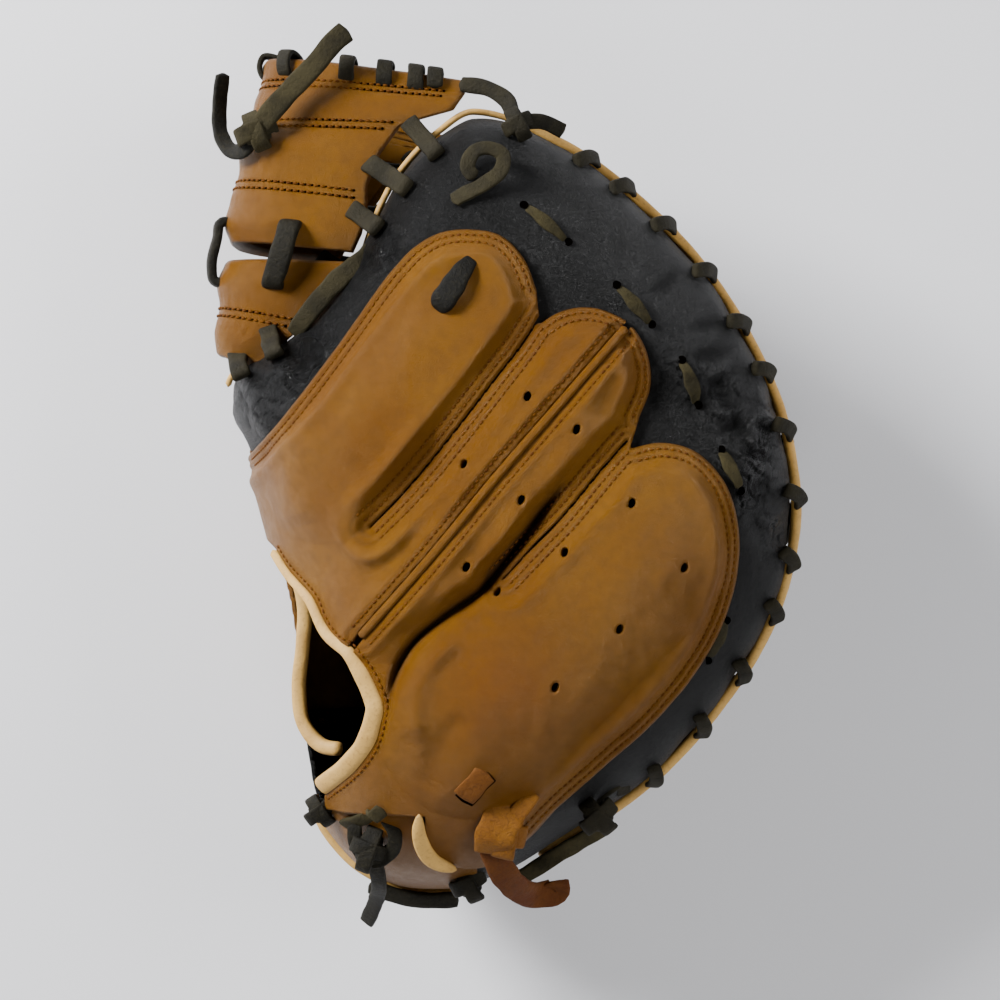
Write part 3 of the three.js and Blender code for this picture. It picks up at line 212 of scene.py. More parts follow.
def dome(bearing, turn, reach, seam, level):
    """Point and outward normal of a rounded plate. The turn runs from 0 at the middle to a quarter
    turn at the rim: share of the reach = sin(turn) ** (2 / ROUNDING), height = cos(turn)."""
    a = np.radians(bearing)
    far, low = reach(bearing), seam(bearing)
    sine = np.maximum(np.sin(turn), 1e-6)
    r = far * sine ** (2 / ROUNDING)
    z = low + (level - low) * np.cos(turn)
    point = np.stack([MIDDLE[0] + r * np.cos(a), MIDDLE[1] + r * np.sin(a), z], -1)
    side = np.abs(level - low) * sine
    up = far * (2 / ROUNDING) * sine ** (2 / ROUNDING - 1) * np.cos(turn) * np.sign(level - low)
    size = np.maximum(np.hypot(side, up), 1e-9)
    normal = np.stack([side * np.cos(a), side * np.sin(a), up], -1) / size[..., None]
    return point, normal


def over_back(x, y):
    """Point and normal of the smooth finger dome straight above (x, y)."""
    x, y = np.asarray(x, float), np.asarray(y, float)
    bearing, far = round_middle(x, y)
    share = np.minimum(far / finger_reach(bearing), 1)
    return dome(bearing, np.arcsin(share ** (ROUNDING / 2)), finger_reach, finger_seam, CROWN)


# Leather pieces are cut from flat patterns. A pattern's point (u, v) lies on the plate at the same
# bearing, and as far along the plate's curve as it is from MIDDLE in the pattern, so that the cells
# of its grid stay even down the steep sides.
CURVE_HALF_HEIGHT = 0.5  # height of the plate as a share of its reach, for the length of its curve


def curve_table():
    """Length along the plate's curve, as a share of the reach, at turns from 0 past the rim."""
    turn = np.linspace(0, 0.75 * np.pi, 3001)
    r = np.maximum(np.sin(turn), 0) ** (2 / ROUNDING)
    z = CURVE_HALF_HEIGHT * np.cos(turn)
    length = np.concatenate([[0], np.cumsum(np.hypot(np.diff(r), np.diff(z)))])
    return length, turn


CURVE_LENGTH, CURVE_TURN = curve_table()


def pattern_to_turn(u, v, reach):
    """Bearing and turn of a pattern's point, by interpolation in the curve's lengths."""
    bearing, far = round_middle(u, v)
    return bearing, np.interp(far / reach(bearing), CURVE_LENGTH, CURVE_TURN)


def run_along(line):
    """Distance along a line at each of its points: the sum of its steps so far."""
    return np.concatenate([[0], np.cumsum(np.linalg.norm(np.diff(line, axis=0), axis=1))])


def smooth_line(rows, step=1.0):
    """A line through the rows at even steps: cubic Hermite pieces over the distances between the
    rows, whose slope at a row is that of the parabola through it and its two neighbours."""
    p = np.asarray(rows, float)
    t = run_along(p[:, :3])
    slope = np.gradient(p, t, axis=0)
    at = np.linspace(0, t[-1], 12 * len(p) + int(2 * t[-1]))
    i = np.clip(np.searchsorted(t, at, side="right") - 1, 0, len(t) - 2)
    h = (t[i + 1] - t[i])[:, None]
    fine = hermite((at - t[i])[:, None] / h, h, p[i], p[i + 1], slope[i], slope[i + 1])
    return even_steps(fine, step)


def even_steps(line, step):
    """The line again, with its points an equal distance of about one step apart."""
    length = run_along(line)
    at = np.linspace(0, length[-1], max(2, int(round(length[-1] / step)) + 1))
    return np.stack([np.interp(at, length, line[:, k]) for k in range(line.shape[1])], -1)


def unit(directions):
    """The directions over their own lengths."""
    return directions / np.maximum(np.linalg.norm(directions, axis=-1, keepdims=True), 1e-9)


def beside(line, amount):
    """The line moved sideways in plan, to its left if the amount is positive."""
    ahead = unit(np.gradient(line[:, :2], axis=0))
    moved = line.copy()
    moved[:, 0] -= amount * ahead[:, 1]
    moved[:, 1] += amount * ahead[:, 0]
    return moved


def distance_to_line(x, y, line):
    """Distance in plan to the nearest point of a line, one of its segments after another, with the
    share of the line's length where that point is and the side (+1 to the left)."""
    best = np.full(x.shape, np.inf)
    where = np.zeros(x.shape)
    side = np.ones(x.shape)
    for i in range(len(line) - 1):
        ax, ay = line[i, :2]
        dx, dy = line[i + 1, :2] - line[i, :2]
        t = np.clip(((x - ax) * dx + (y - ay) * dy) / (dx * dx + dy * dy), 0, 1)
        ox, oy = x - ax - t * dx, y - ay - t * dy
        far = np.hypot(ox, oy)
        nearer = far < best
        best = np.where(nearer, far, best)
        where = np.where(nearer, (i + t) / (len(line) - 1), where)
        side = np.where(nearer, np.where(dx * oy - dy * ox >= 0, 1.0, -1.0), side)
    return best, where, side


def inside_outline(x, y, outline):
    """Distance inside a closed outline, negative outside: the nearest side's distance, with the
    sign from how many sides a line to the right crosses."""
    closed = np.concatenate([outline, outline[:1]])
    far, _, _ = distance_to_line(x, y, closed)
    odd = np.zeros(x.shape, bool)
    for (ax, ay), (bx, by) in zip(closed[:-1, :2], closed[1:, :2]):
        if ay != by:
            odd ^= ((ay > y) != (by > y)) & (x < (bx - ax) * (y - ay) / (by - ay) + ax)
    return np.where(odd, far, -far)


# Outlines of the tan back leather, seen from above: the three lobes, the heel flap and the wrist.
INDEX_EDGE = [(-104, 9), (-84, 18), (-67, 35), (-50, 58), (-35, 78)]
INDEX_TIP = [(-29, 84), (-20, 89), (-10, 90), (0, 88), (8, 80), (12, 70)]
INDEX_SLIT = [(14, 62), (7, 51), (0, 42), (-17, 20), (-33, 1), (-43, -9)]
MIDDLE_TIP = [(13, 58), (19, 62), (30, 64), (41, 60), (48, 51), (50, 38), (46, 27)]
LITTLE_SLIT = [(42, 19.5), (33.5, 10), (21.5, -4.5), (10, -16.5), (1, -26)]
LITTLE_TIP = [(43, 17), (53, 19), (65, 16), (74, 7), (79, -7), (80, -23), (75, -42), (67, -57),
              (54, -73), (37, -89), (20, -105), (9, -117)]
HEEL_FLAP = [(0, -124), (-15, -125), (-22, -121), (-25, -114), (-25, -106)]
WRIST_EDGE = [(-60, -101), (-49, -91), (-43, -83), (-40, -75), (-39, -69), (-41, -63), (-45, -55),
              (-49, -49), (-56, -44), (-63, -32), (-71, -24), (-77, -16)]
WRIST_END = [(-84, -12), (-104, -9)]
CENTRE_SEAM = [(39, 54), (20, 32), (0, 9), (-23, -19), (-46, -45)]
SLIT_WIDTH = 1.2  # as cut; the two edges then lean together
SLIT_CLOSING = (0.42, 4.0)  # how far each edge moves, and how far from the slit that begins
WELT_HALF = 1.2

index_slit = smooth_line(INDEX_SLIT)
little_slit = smooth_line(LITTLE_SLIT)
centre_seam = smooth_line(CENTRE_SEAM)
index_edge = smooth_line(INDEX_EDGE + INDEX_TIP)
middle_edge = smooth_line(MIDDLE_TIP)
little_edge = smooth_line(LITTLE_TIP + HEEL_FLAP)
wrist_edge = smooth_line(WRIST_EDGE + WRIST_END)

# Ridges and dents of the lobes. Each lobe has a flat flange that is sewn down along its edge, and
# the leather puffs up inside it. The little finger's fold is a roll that hangs over a deep crease.
FLANGE = 5.6  # width of the sewn flange
FLANGE_DEPTH = 1.0
STITCH_ROWS = (2.1, 4.6)  # distances of the stitch rows from the edge
SEAM_ROW = 4.0  # and from the centre seam
PUFF_WIDTH = 3.4  # how far the rise beside a flange reaches
PUFF_CREST = (0.6, 2.6, 0.7)  # its crest: how far beyond the rise, half width, height
ROW_GROOVE = (0.42, 0.6)  # depth and half width of the groove that a stitch row pulls in
FLANGE_ROLL = (0.6, 1.2)  # fall and width of the leather's rolled edge
SEAM_CREST = (5.4, 2.2, 0.9)  # puff beside the centre seam: distance, half width, height
SEAM_VALLEY = (2.4, 0.8)  # half width and depth of the seam's valley
SEAM_GROOVE = (0.4, 0.6)
# Painted shade: the tan leather's colour is darkened along its stitch rows, at its sewn edges and in the
# fold's crease, where shade falls, with some dirt in the fold's crease as well.
ROW_SHADE = (0.42, 0.8)  # how much darker the leather is along a stitch row, and half width
EDGE_SHADE = (0.2, 0.7, 0.5)  # the same along the edge: distance, half width, how much darker
FOLD_SHADE_STRENGTH = 1.15
DEEP_INSIDE = 9.0  # a distance inside an edge that is past its flange
LOBES = [
    # x1, y1, x2, y2, half width, rise
    (-57, 8, -10, 67, 23, 2.6),
    (-38, -33, 29, 42, 22, 2.4),
    (-10, -77, 53, -10, 30, 3.4),
]
RIDGES = [
    # points, half width on the left and on the right, height; a share of the line fades at its ends
    ([(-24, 27), (-38, 8), (-47, -4), (-49, -12), (-43, -17), (-34, -13), (-27, -4)], 3.2, 3.6, 2.6),
    ([(37, 44), (26, 26), (10, 1), (-6, -22), (-19, -32), (-31, -42)], 5.0, 5.0, 2.6),
    ([(-9, -9), (-25, -28), (-36, -43)], 5.0, 5.0, 1.3),
    ([(-13, -44), (-23, -54), (-28, -66), (-26, -80)], 3.6, 7.0, 1.9),
    ([(-62, 22), (-66, 8), (-63, -8)], 7.0, 9.0, 1.5),
]
DENTS = [
    ([(-20, -1), (-32, -15), (-44, -27)], 4.0, 4.0, 1.2),
    ([(-12, -70), (-20, -84), (-24, -97)], 5.0, 6.0, 1.2),
    ([(30, 34), (18, 16), (10, 4)], 4.0, 4.0, 0.7),
]
FOLD = [(21, 7), (16, -1), (7.5, -13), (0, -22.5), (-6, -30), (-18, -38.5), (-30, -49.5), (-36, -62),
        (-37, -70)]
FOLD_SIDES = (1.8, 7.0, 4.6, 1.3)  # half widths on its two sides, depth, sharpness
FOLD_CREASE = (1.0, 1.1, 3.0)  # the narrow groove along its bottom
# Painted shade in the fold's crease: half widths on its two sides, amount, sharpness.
FOLD_SHADE = (1.1, 2.2, 1.0, 1.6)  # and where the leather is darker in it


def bell(far, width, power=2):
    """A bell curve across a distance: exp(-(far / width) ** power)."""
    return np.exp(-((far / width) ** power))


def rolled(far, drop, width):
    """Fall of a rolled edge at a distance from it: drop * (1 - far / width) ** 2, and none beyond."""
    return drop * np.clip(1 - far / width, 0, 1) ** 2


def along_line(x, y, rows, left, right, amount, sharp=2.0):
    """A ridge along a line, wider to one side, that fades at both ends. Across it, its height is
    exp(-(distance / half width) ** sharp): a bell curve at 2, and a sharp edge near 1."""
    far, where, side = distance_to_line(x, y, smooth_line(rows, 3.0))
    half = np.where(side > 0, left, right)
    fade = np.minimum(1, 6 * np.minimum(where, 1 - where) + 0.15)
    return amount * fade * bell(far, half, sharp)


def waves(x, y, length, seed, count=14):
    """Uneven rolling field between about -1 and 1: a sum of plane waves in random directions."""
    draw = np.random.default_rng(seed)
    turn = draw.uniform(0, 2 * np.pi, count)
    size = 2 * np.pi / (length * draw.uniform(0.7, 1.5, count))
    phase = draw.uniform(0, 2 * np.pi, count)
    total = sum(np.cos(k * (x * np.cos(a) + y * np.sin(a)) + p) for k, a, p in zip(size, turn, phase))
    return total / np.sqrt(count)


def lobe_relief(x, y):
    """Height of the tan leather over the smooth dome, before its edges: mounds, ridges less dents,
    slit flanges, and small uneven waves."""
    height = np.full(x.shape, -9.0)
    for x1, y1, x2, y2, half, rise in LOBES:
        line = np.array([(x1, y1), (x2, y2)], float)
        height = np.maximum(height, rise * (1 - (distance_to_line(x, y, line)[0] / half) ** 2))
    height = np.maximum(height, 0)
    for rows, left, right, amount in RIDGES:
        height = height + along_line(x, y, rows, left, right, amount)
    for rows, left, right, amount in DENTS:
        height = height - along_line(x, y, rows, left, right, amount)
    height = height - along_line(x, y, FOLD, *FOLD_SIDES) - along_line(x, y, FOLD, *FOLD_CREASE)
    height = height + 0.25 * waves(x, y, 26, 3) + 0.07 * waves(x, y, 7, 4)
    return height


def flange_relief(far):
    """Height at a distance inside a sewn edge: a rolled lip, a flat flange with a groove under each
    row of stitches, then a quick rise (a smooth step) to the padded leather with a soft crest."""
    t = np.clip((far - FLANGE) / PUFF_WIDTH, 0, 1)
    height = -FLANGE_DEPTH * (1 - t * t * (3 - 2 * t))
    beyond, half, crest = PUFF_CREST
    height = height + crest * bell(far - FLANGE - PUFF_WIDTH - beyond, half)
    for row in STITCH_ROWS:
        height = height - ROW_GROOVE[0] * bell(far - row, ROW_GROOVE[1])
    return height - rolled(far, *FLANGE_ROLL)


SEWN_EDGES = [index_edge, index_slit, middle_edge, little_slit, smooth_line(LITTLE_TIP)]


def tan_relief(x, y, inside):
    """Whole height of the tan back leather over the dome, and how much painted shade darkens it (0..1): along
    the stitch rows, at the sewn edges and in the fold's crease.
    """
    sewn = np.full(x.shape, np.inf)
    for line in SEWN_EDGES:
        half = SLIT_WIDTH / 2 if line is index_slit or line is little_slit else 0
        sewn = np.minimum(sewn, distance_to_line(x, y, line)[0] - half)
    sewn = np.maximum(sewn, 0)
    seam = distance_to_line(x, y, centre_seam)[0]
    height = lobe_relief(x, y) + flange_relief(sewn)
    height = height + SEAM_CREST[2] * bell(seam - SEAM_CREST[0], SEAM_CREST[1])
    height = height - SEAM_VALLEY[1] * bell(seam, SEAM_VALLEY[0])
    height = height - SEAM_GROOVE[0] * bell(seam - SEAM_ROW, SEAM_GROOVE[1])
    fold_shading = along_line(x, y, FOLD, *FOLD_SHADE)
    rows = sum(bell(sewn - row, ROW_SHADE[1]) for row in STITCH_ROWS)
    rows = rows + bell(seam - SEAM_ROW, ROW_SHADE[1])
    edge = EDGE_SHADE[2] * bell(sewn - EDGE_SHADE[0], EDGE_SHADE[1])
    # Painted shade, carried to the finish in the attribute crease.
    crease = ROW_SHADE[0] * rows + FOLD_SHADE_STRENGTH * fold_shading + edge
    return height, np.clip(crease, 0, 1)


def make_piece(name, points, faces, finish, slot, *nodes, values=None):
    """A mesh object in the frame from points in millimetres and faces, riding on the one body. It
    stands for the nodes named, and values are attributes of its points."""
    mesh = bpy.data.meshes.new(name)
    mesh.from_pydata(metres(points).tolist(), [], [list(face) for face in faces])
    mesh.polygons.foreach_set("use_smooth", np.full(len(mesh.polygons), True))
    for label, value in (values or {}).items():
        mesh.attributes.new(label, "FLOAT", "POINT").data.foreach_set("value", value.astype(np.float32))
    mesh.materials.append(finish)
    mesh.update()
    made = bpy.data.objects.new(name, mesh)
    bpy.context.scene.collection.objects.link(made)
    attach(made, "root")
    if nodes:
        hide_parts(*nodes)
    return made


def wall(piece, thickness):
    """Gives a sheet its leather's thickness, in millimetres, inwards from its face."""
    made = piece.modifiers.new("thickness", "SOLIDIFY")
    made.thickness = thickness / 1000
    made.offset = -1
    made.use_rim = True
    return piece


def lean_together(point, line):
    """Points beside a slit moved towards its line, by SLIT_CLOSING and less by a square law."""
    x, y = point[:, 0], point[:, 1]
    far = distance_to_line(x, y, line)[0]
    step = 0.1
    slope = [distance_to_line(x + dx, y + dy, line)[0] - far for dx, dy in ((step, 0), (0, step))]
    point[:, :2] -= np.stack(slope, -1) / step * rolled(far, *SLIT_CLOSING)[:, None]
    return point


def cut_leather(name, plate, measure, relief, extent, spacing, finish, slot, *nodes, lift=0.0,
                thickness=2.2, under=False, slits=()):
    """Leather cut from a flat pattern and laid on a plate. The grid's cells whose middles measure
    inside are kept, and the points of the cut edge are moved on to the outline along the slope of
    the measure. The relief then lifts each point along the plate's normal, and slits close up."""
    reach, seam, level = plate
    u, v = np.meshgrid(np.arange(extent[0], extent[1], spacing), np.arange(extent[2], extent[3], spacing))

    def place(u, v):
        bearing, turn = pattern_to_turn(u, v, reach)
        point, normal = dome(bearing, turn, reach, seam, level)
        return point, normal, turn

    point, normal, turn = place(u, v)
    inside = measure(point[..., 0], point[..., 1], turn)
    cells = (inside[:-1, :-1] + inside[1:, :-1] + inside[:-1, 1:] + inside[1:, 1:]) > 0
    count = np.zeros(u.shape, int)
    for rows in (slice(0, -1), slice(1, None)):
        for columns in (slice(0, -1), slice(1, None)):
            count[rows, columns] += cells
    kept = count > 0
    slope_v, slope_u = np.gradient(inside, spacing)
    steep = np.maximum(slope_u**2 + slope_v**2, 0.05)
    move = np.where(kept & (count < 4), np.clip(inside / steep, -1.2 * spacing, 1.2 * spacing), 0)
    u, v = u - slope_u * move, v - slope_v * move
    index = np.full(u.shape, -1)
    index[kept] = np.arange(kept.sum())
    point, normal, turn = place(u[kept], v[kept])
    inside = np.maximum(measure(point[:, 0], point[:, 1], turn), 0)
    height, crease = relief(point[:, 0], point[:, 1], inside)
    point = point + normal * (height + lift)[:, None]
    for slit in slits:
        point = lean_together(point, slit)
    corners = (index[:-1, :-1], index[:-1, 1:], index[1:, 1:], index[1:, :-1])
    faces = np.stack([corner[cells] for corner in corners], -1)
    if under:
        faces = faces[:, ::-1]
        point[:, 2] = np.maximum(point[:, 2], 0.0)
    made = make_piece(name, point, faces, finish, slot, *nodes, values={"crease": crease})
    return wall(made, thickness)


def ramped(tree, factor, low, high, to_low=0.0, to_high=1.0):
    """A socket that runs from to_low to to_high while the factor runs from low to high."""
    made = shader(tree, "MapRange", {"Value": factor, "From Min": low, "From Max": high,
                                     "To Min": to_low, "To Max": to_high})
    return made.outputs["Result"]


def layered(tree, colour, *layers):
    """A colour with others over it. A layer is a socket, the two values that it is read between,
    how much of the layer's colour shows at each of them, and that colour."""
    for factor, low, high, at_low, at_high, over in layers:
        colour = mixed(tree, ramped(tree, factor, low, high, at_low, at_high), colour, over)
    return colour


def attribute(tree, name):
    """The socket of an attribute of the mesh's points."""
    return shader(tree, "Attribute", attribute_name=name).outputs["Fac"]


def grain_bump(tree, place, cell, depth, crease_size, crease_depth):
    """The sockets of leather's pebbles and of its normal. The pebbles are rounded cells between pores (a
    Voronoi's distance to its edges, at a place that a noise stretches), over finer and coarser wrinkles."""
    warp = shader(tree, "TexNoise", {"Vector": place, "Scale": 0.35 / cell, "Detail": 3.0}).outputs["Color"]
    moved = shader(tree, "VectorMath", {0: warp, "Scale": cell * 1.1}, operation="SCALE").outputs[0]
    bent = shader(tree, "VectorMath", {0: place, 1: warp, 2: moved}, operation="MULTIPLY_ADD").outputs[0]
    cells = shader(tree, "TexVoronoi", {"Vector": bent, "Scale": 1 / cell}, feature="DISTANCE_TO_EDGE")
    pebble = ramped(tree, cells.outputs["Distance"], 0.0, 0.28)
    fine = noise(tree, place, 1.6 / cell, 4.0)
    coarse = noise(tree, place, 1 / crease_size, 5.0, Roughness=0.62, Distortion=0.6)
    normal = bump(tree, pebble, 0.8, depth, bump(tree, coarse, 1.0, crease_depth))
    return pebble, bump(tree, fine, 0.5, depth, normal)


STAIN_PLACE = metres((0.0, -62.0, 115.0))
STAIN_SIZE = 0.03


def tan_finish(name, stain=False):
    """Oiled tan cowhide: golden and browner patches, darker in its pores, with a soft sheen that wear has
    polished, and darkened by painted shade where the attribute crease is high. The stain is a redder
    rubbed patch near the heel of the little finger."""
    finish, tree, surface, place = new_finish(name)
    broad = noise(tree, place, 22.0, 3.0, Roughness=0.55)
    small = noise(tree, place, 260.0, 4.0, Roughness=0.6)
    pebble, normal = grain_bump(tree, place, 0.00095, 0.00014, 0.0035, 0.00036)
    colour = layered(
        tree, mixed(tree, ramped(tree, broad, 0.35, 0.65), (0.168, 0.060, 0.0016), (0.220, 0.090, 0.0040)),
        (small, 0.4, 0.75, 0.0, 0.45, (0.105, 0.038, 0.001)),
        (pebble, 0.0, 0.5, 0.38, 0.0, (0.06, 0.02, 0.001)),
        # Painted shade: darker where the attribute crease is high.
        (attribute(tree, "crease"), 0.12, 1.0, 0.0, 0.85, (0.022, 0.007, 0.001)))
    if stain:
        gap = shader(tree, "VectorMath", {0: place, 1: tuple(STAIN_PLACE)}, operation="DISTANCE")
        near = (gap.outputs["Value"], 0.2 * STAIN_SIZE, STAIN_SIZE, 0.3, 0.0, (0.175, 0.040, 0.001))
        colour = layered(tree, colour, near)
    fill(tree, surface, {"Base Color": colour, "Normal": normal, "Specular IOR Level": 0.42,
                         "Specular Tint": (1.0, 0.74, 0.46, 1),
                         "Roughness": ramped(tree, small, 0.3, 0.7, 0.31, 0.43)})
    return finish


# Tan back of the fingers: two pieces of cowhide that meet at the centre seam. The first covers the
# index finger and half of the middle one and wraps down over the left side. Both have air holes.
WRAP_TURN = 1.68  # how far round the rim the leather of the left side goes
TURN_LENGTH = 70  # millimetres of leather to a radian of turn near the finger rim
FINGER_PLATE = (finger_reach, finger_seam, CROWN)
TAN_THICKNESS = 2.4
TAN_CELL = 0.75  # of the pattern's grid
TAN_LIFT = 1.5
AIR_HOLES = [(9, 34), (25, 23), (-12, 12), (7, 0), (-11, -22), (-1, -30), (43, -1), (21, -17),
             (60, -22), (39, -42), (18, -61)]
AIR_HOLE = (1.75, 1.2)  # half length and half width
AIR_HOLE_TURN = np.radians(70)
SEAM_BEYOND_TIP = (58, 76)
SEAM_BEYOND_WRIST = (-60, -62)

tan_outline = np.concatenate([index_edge, middle_edge, little_edge, [(-60.0, -106.0)], wrist_edge])
dividing_line = np.array([SEAM_BEYOND_TIP, *CENTRE_SEAM, SEAM_BEYOND_WRIST], float)


def tan_inside(x, y):
    """Distance inside the tan back: inside its outline and outside the two slits."""
    inside = inside_outline(x, y, tan_outline)
    for line in (index_slit, little_slit):
        inside = np.minimum(inside, distance_to_line(x, y, line)[0] - SLIT_WIDTH / 2)
    return inside


def outside_holes(x, y):
    """Distance outside the nearest air hole: an ellipse's, from its scaled radius."""
    c, s = np.cos(AIR_HOLE_TURN), np.sin(AIR_HOLE_TURN)
    nearest = np.full(x.shape, np.inf)
    for hx, hy in AIR_HOLES:
        along, across = (x - hx) * c + (y - hy) * s, (y - hy) * c - (x - hx) * s
        nearest = np.minimum(nearest, np.hypot(along / AIR_HOLE[0], across / AIR_HOLE[1]) - 1)
    return nearest * AIR_HOLE[1]


def seam_side(x, y):
    """Signed distance from the centre seam, positive on the little finger's side."""
    far, _, side = distance_to_line(x, y, dividing_line)
    return far * side


def index_measure(x, y, turn):
    """Tan leather on the index finger's side of the seam, down to the wrap's edge."""
    inside = np.minimum(tan_inside(x, y), -seam_side(x, y) - WELT_HALF)
    return np.minimum(np.minimum(inside, outside_holes(x, y)), TURN_LENGTH * (WRAP_TURN - turn))


def little_measure(x, y, turn):
    """Tan leather on the little finger's side of the seam."""
    inside = np.minimum(tan_inside(x, y), seam_side(x, y) - WELT_HALF)
    return np.minimum(inside, outside_holes(x, y))


for node, material, measure, extent, slit, stain in (
        ("index_back", "tan_cowhide", index_measure, (-140, 62, -66, 108), index_slit, False),
        ("little_back", "tan_cowhide_rubbed", little_measure, (-80, 98, -160, 74), little_slit, True)):
    cut_leather(node + "_leather", FINGER_PLATE, measure, tan_relief, extent, TAN_CELL,
                tan_finish(material, stain), "tan_leather", node, lift=TAN_LIFT, thickness=TAN_THICKNESS,
                slits=(slit,))


# Thread of the tan leather: twisted brown thread in short stitches, two rows round every lobe and one
# on each side of the centre seam, with a needle hole between each two stitches: a dark disc of painted shade.
STITCH_PITCH = 2.4
STITCH_LENGTH = 1.75
THREAD = 0.5  # half thickness
NEEDLE_HOLE = 0.5  # radius
HOLE_SINK = 0.22
THREAD_SINK = 0.05


def thread_finish():
    """Waxed brown thread with a tight twist in its bump."""
    finish, tree, surface, place = new_finish("brown_thread")
    tone = ramped(tree, noise(tree, place, 300.0), 0.35, 0.65)
    colour = mixed(tree, tone, (0.120, 0.042, 0.003), (0.070, 0.021, 0.002))
    twist = bump(tree, noise(tree, place, 2600.0, 1.0), 0.6, 0.0001)
    fill(tree, surface, {"Base Color": colour, "Roughness": 0.62, "Specular IOR Level": 0.08,
                         "Normal": twist})
    return finish


def hole_shade_finish():
    """Painted shade: a near-black sheet for the dark inside of a needle hole, of a lace's hole or of the
    strap's slot.
    """
    finish, tree, surface, place = new_finish("painted_hole_shade")
    colour = mixed(tree, noise(tree, place, 500.0), (0.0003, 0.0002, 0.0002), (0.0012, 0.0007, 0.0004))
    fill(tree, surface, {"Base Color": colour, "Roughness": 0.9, "Specular IOR Level": 0.0})
    return finish


THREAD_FINISH = thread_finish()
HOLE_SHADE_FINISH = hole_shade_finish()


def stitch_shape(sides=6, rings=4):
    """A few-sided bead of thread along +X: circles whose radius is a half sine of the place along,
    flattened a little, closed at both ends. Its points, of length 1 and half thickness 1, and faces."""
    along = np.linspace(0.06, 0.94, rings)
    turn = np.linspace(0, 2 * np.pi, sides, endpoint=False)
    radius = np.sin(np.pi * along) ** 0.45
    points = np.stack([
        np.repeat(along - 0.5, sides),
        (radius[:, None] * np.cos(turn)).ravel(),
        (radius[:, None] * np.sin(turn)).ravel(),
    ], -1)
    ring = np.arange(sides)
    after = (ring + 1) % sides
    walls = [np.stack([r * sides + ring, r * sides + after, (r + 1) * sides + after,
                       (r + 1) * sides + ring], -1) for r in range(rings - 1)]
    faces = [tuple(f) for f in np.concatenate(walls)[:, ::-1]]
    last = (rings - 1) * sides
    return points, faces + [tuple(ring), tuple(last + ring[::-1])]


def disc_shape(sides):
    """A flat many-sided disc that faces +Z."""
    turn = np.linspace(0, 2 * np.pi, sides, endpoint=False)
    return np.stack([np.cos(turn), np.sin(turn), 0 * turn], -1), [tuple(range(sides))]


def square_to(directions, along):
    """The directions made square to others, which have unit length: less their share along them."""
    return unit(directions - (directions * along).sum(1, keepdims=True) * along)


def copies(shape, places, along, up, size):
    """The shape set at every place with its +X along and its +Z up: points = place + the shape's
    coordinates times the size, on the three directions. All the faces, renumbered."""
    points, faces = shape
    along = unit(along)
    up = square_to(up, along)
    across = np.cross(up, along)
    scaled = points * size
    whole = (places[:, None] + scaled[None, :, :1] * along[:, None] + scaled[None, :, 1:2] * across[:, None]
             + scaled[None, :, 2:] * up[:, None])
    moved = [tuple(i * len(points) + k for k in face) for i in range(len(places)) for face in faces]
    return whole.reshape(-1, 3), moved


def on_tan(line, lift):
    """Places on the tan leather under a line in plan, with the leather's direction up."""
    x, y = line[:, 0], line[:, 1]
    point, normal = over_back(x, y)
    height, _ = tan_relief(x, y, np.full(x.shape, DEEP_INSIDE))
    return point + normal * (height + TAN_LIFT + lift)[:, None], normal


def joined(shapes):
    """One set of points and faces out of several."""
    starts = np.cumsum([0] + [len(points) for points, _ in shapes[:-1]])
    faces = [tuple(i + int(start) for i in face) for start, (_, some) in zip(starts, shapes) for face in some]
    return np.concatenate([points for points, _ in shapes]), faces


def sew(name, rows):
    """Rows of stitches and, as dark discs of painted shade, their needle holes. A row is its points and the
    directions up.
    """
    beads, pits = [], []
    bead, pit = stitch_shape(), disc_shape(6)
    bead_size = np.array([STITCH_LENGTH, THREAD, THREAD * 0.8])
    pit_size = np.array([NEEDLE_HOLE, NEEDLE_HOLE, 1])
    for points, normals in rows:
        steps = even_steps(np.concatenate([points, normals], 1), STITCH_PITCH / 2)
        points, normals = steps[:, :3], steps[:, 3:]
        ahead = np.gradient(points, axis=0)
        beads.append(copies(bead, points[1::2], ahead[1::2], normals[1::2], bead_size))
        sunk = points[::2] - HOLE_SINK * normals[::2]
        pits.append(copies(pit, sunk, ahead[::2], normals[::2], pit_size))
    make_piece(name + "_thread", *joined(beads), THREAD_FINISH, "tan_leather")
    make_piece(name + "_painted_needle_hole_shade", *joined(pits), HOLE_SHADE_FINISH, "tan_leather")


def runs(line, kept, least=5):
    """The stretches of a line whose points are kept, each of at least a few points."""
    cuts = np.flatnonzero(np.diff(kept.astype(int))) + 1
    parts = zip(np.split(line, cuts), np.split(kept, cuts))
    return [part for part, keep in parts if keep[0] and len(part) >= least]


index_lobe = np.concatenate([index_edge[18:], beside(index_slit, -SLIT_WIDTH / 2)[4:]])
middle_lobe = np.concatenate([beside(index_slit, SLIT_WIDTH / 2)[::-1], middle_edge,
                              beside(little_slit, -SLIT_WIDTH / 2)])
little_lobe = np.concatenate([beside(little_slit, SLIT_WIDTH / 2)[::-1], smooth_line(LITTLE_TIP)])
tan_rows = []
for lobe in (index_lobe, middle_lobe, little_lobe):
    for row in STITCH_ROWS:
        line = beside(lobe, -row)
        kept = tan_inside(line[:, 0], line[:, 1]) > row - 0.35
        tan_rows += [on_tan(run, THREAD_SINK) for run in runs(line, kept)]
for side in (-1, 1):
    line = beside(centre_seam, side * SEAM_ROW)
    kept = inside_outline(line[:, 0], line[:, 1], tan_outline) > 5.5
    tan_rows += [on_tan(run, THREAD_SINK) for run in runs(line, kept)]
sew("back", tan_rows)


# Centre seam's welt: a thin strip of tan leather folded into the seam, standing up between the two
# pieces from the middle finger's tip to the wrist.
WELT_HEIGHT = 3.0


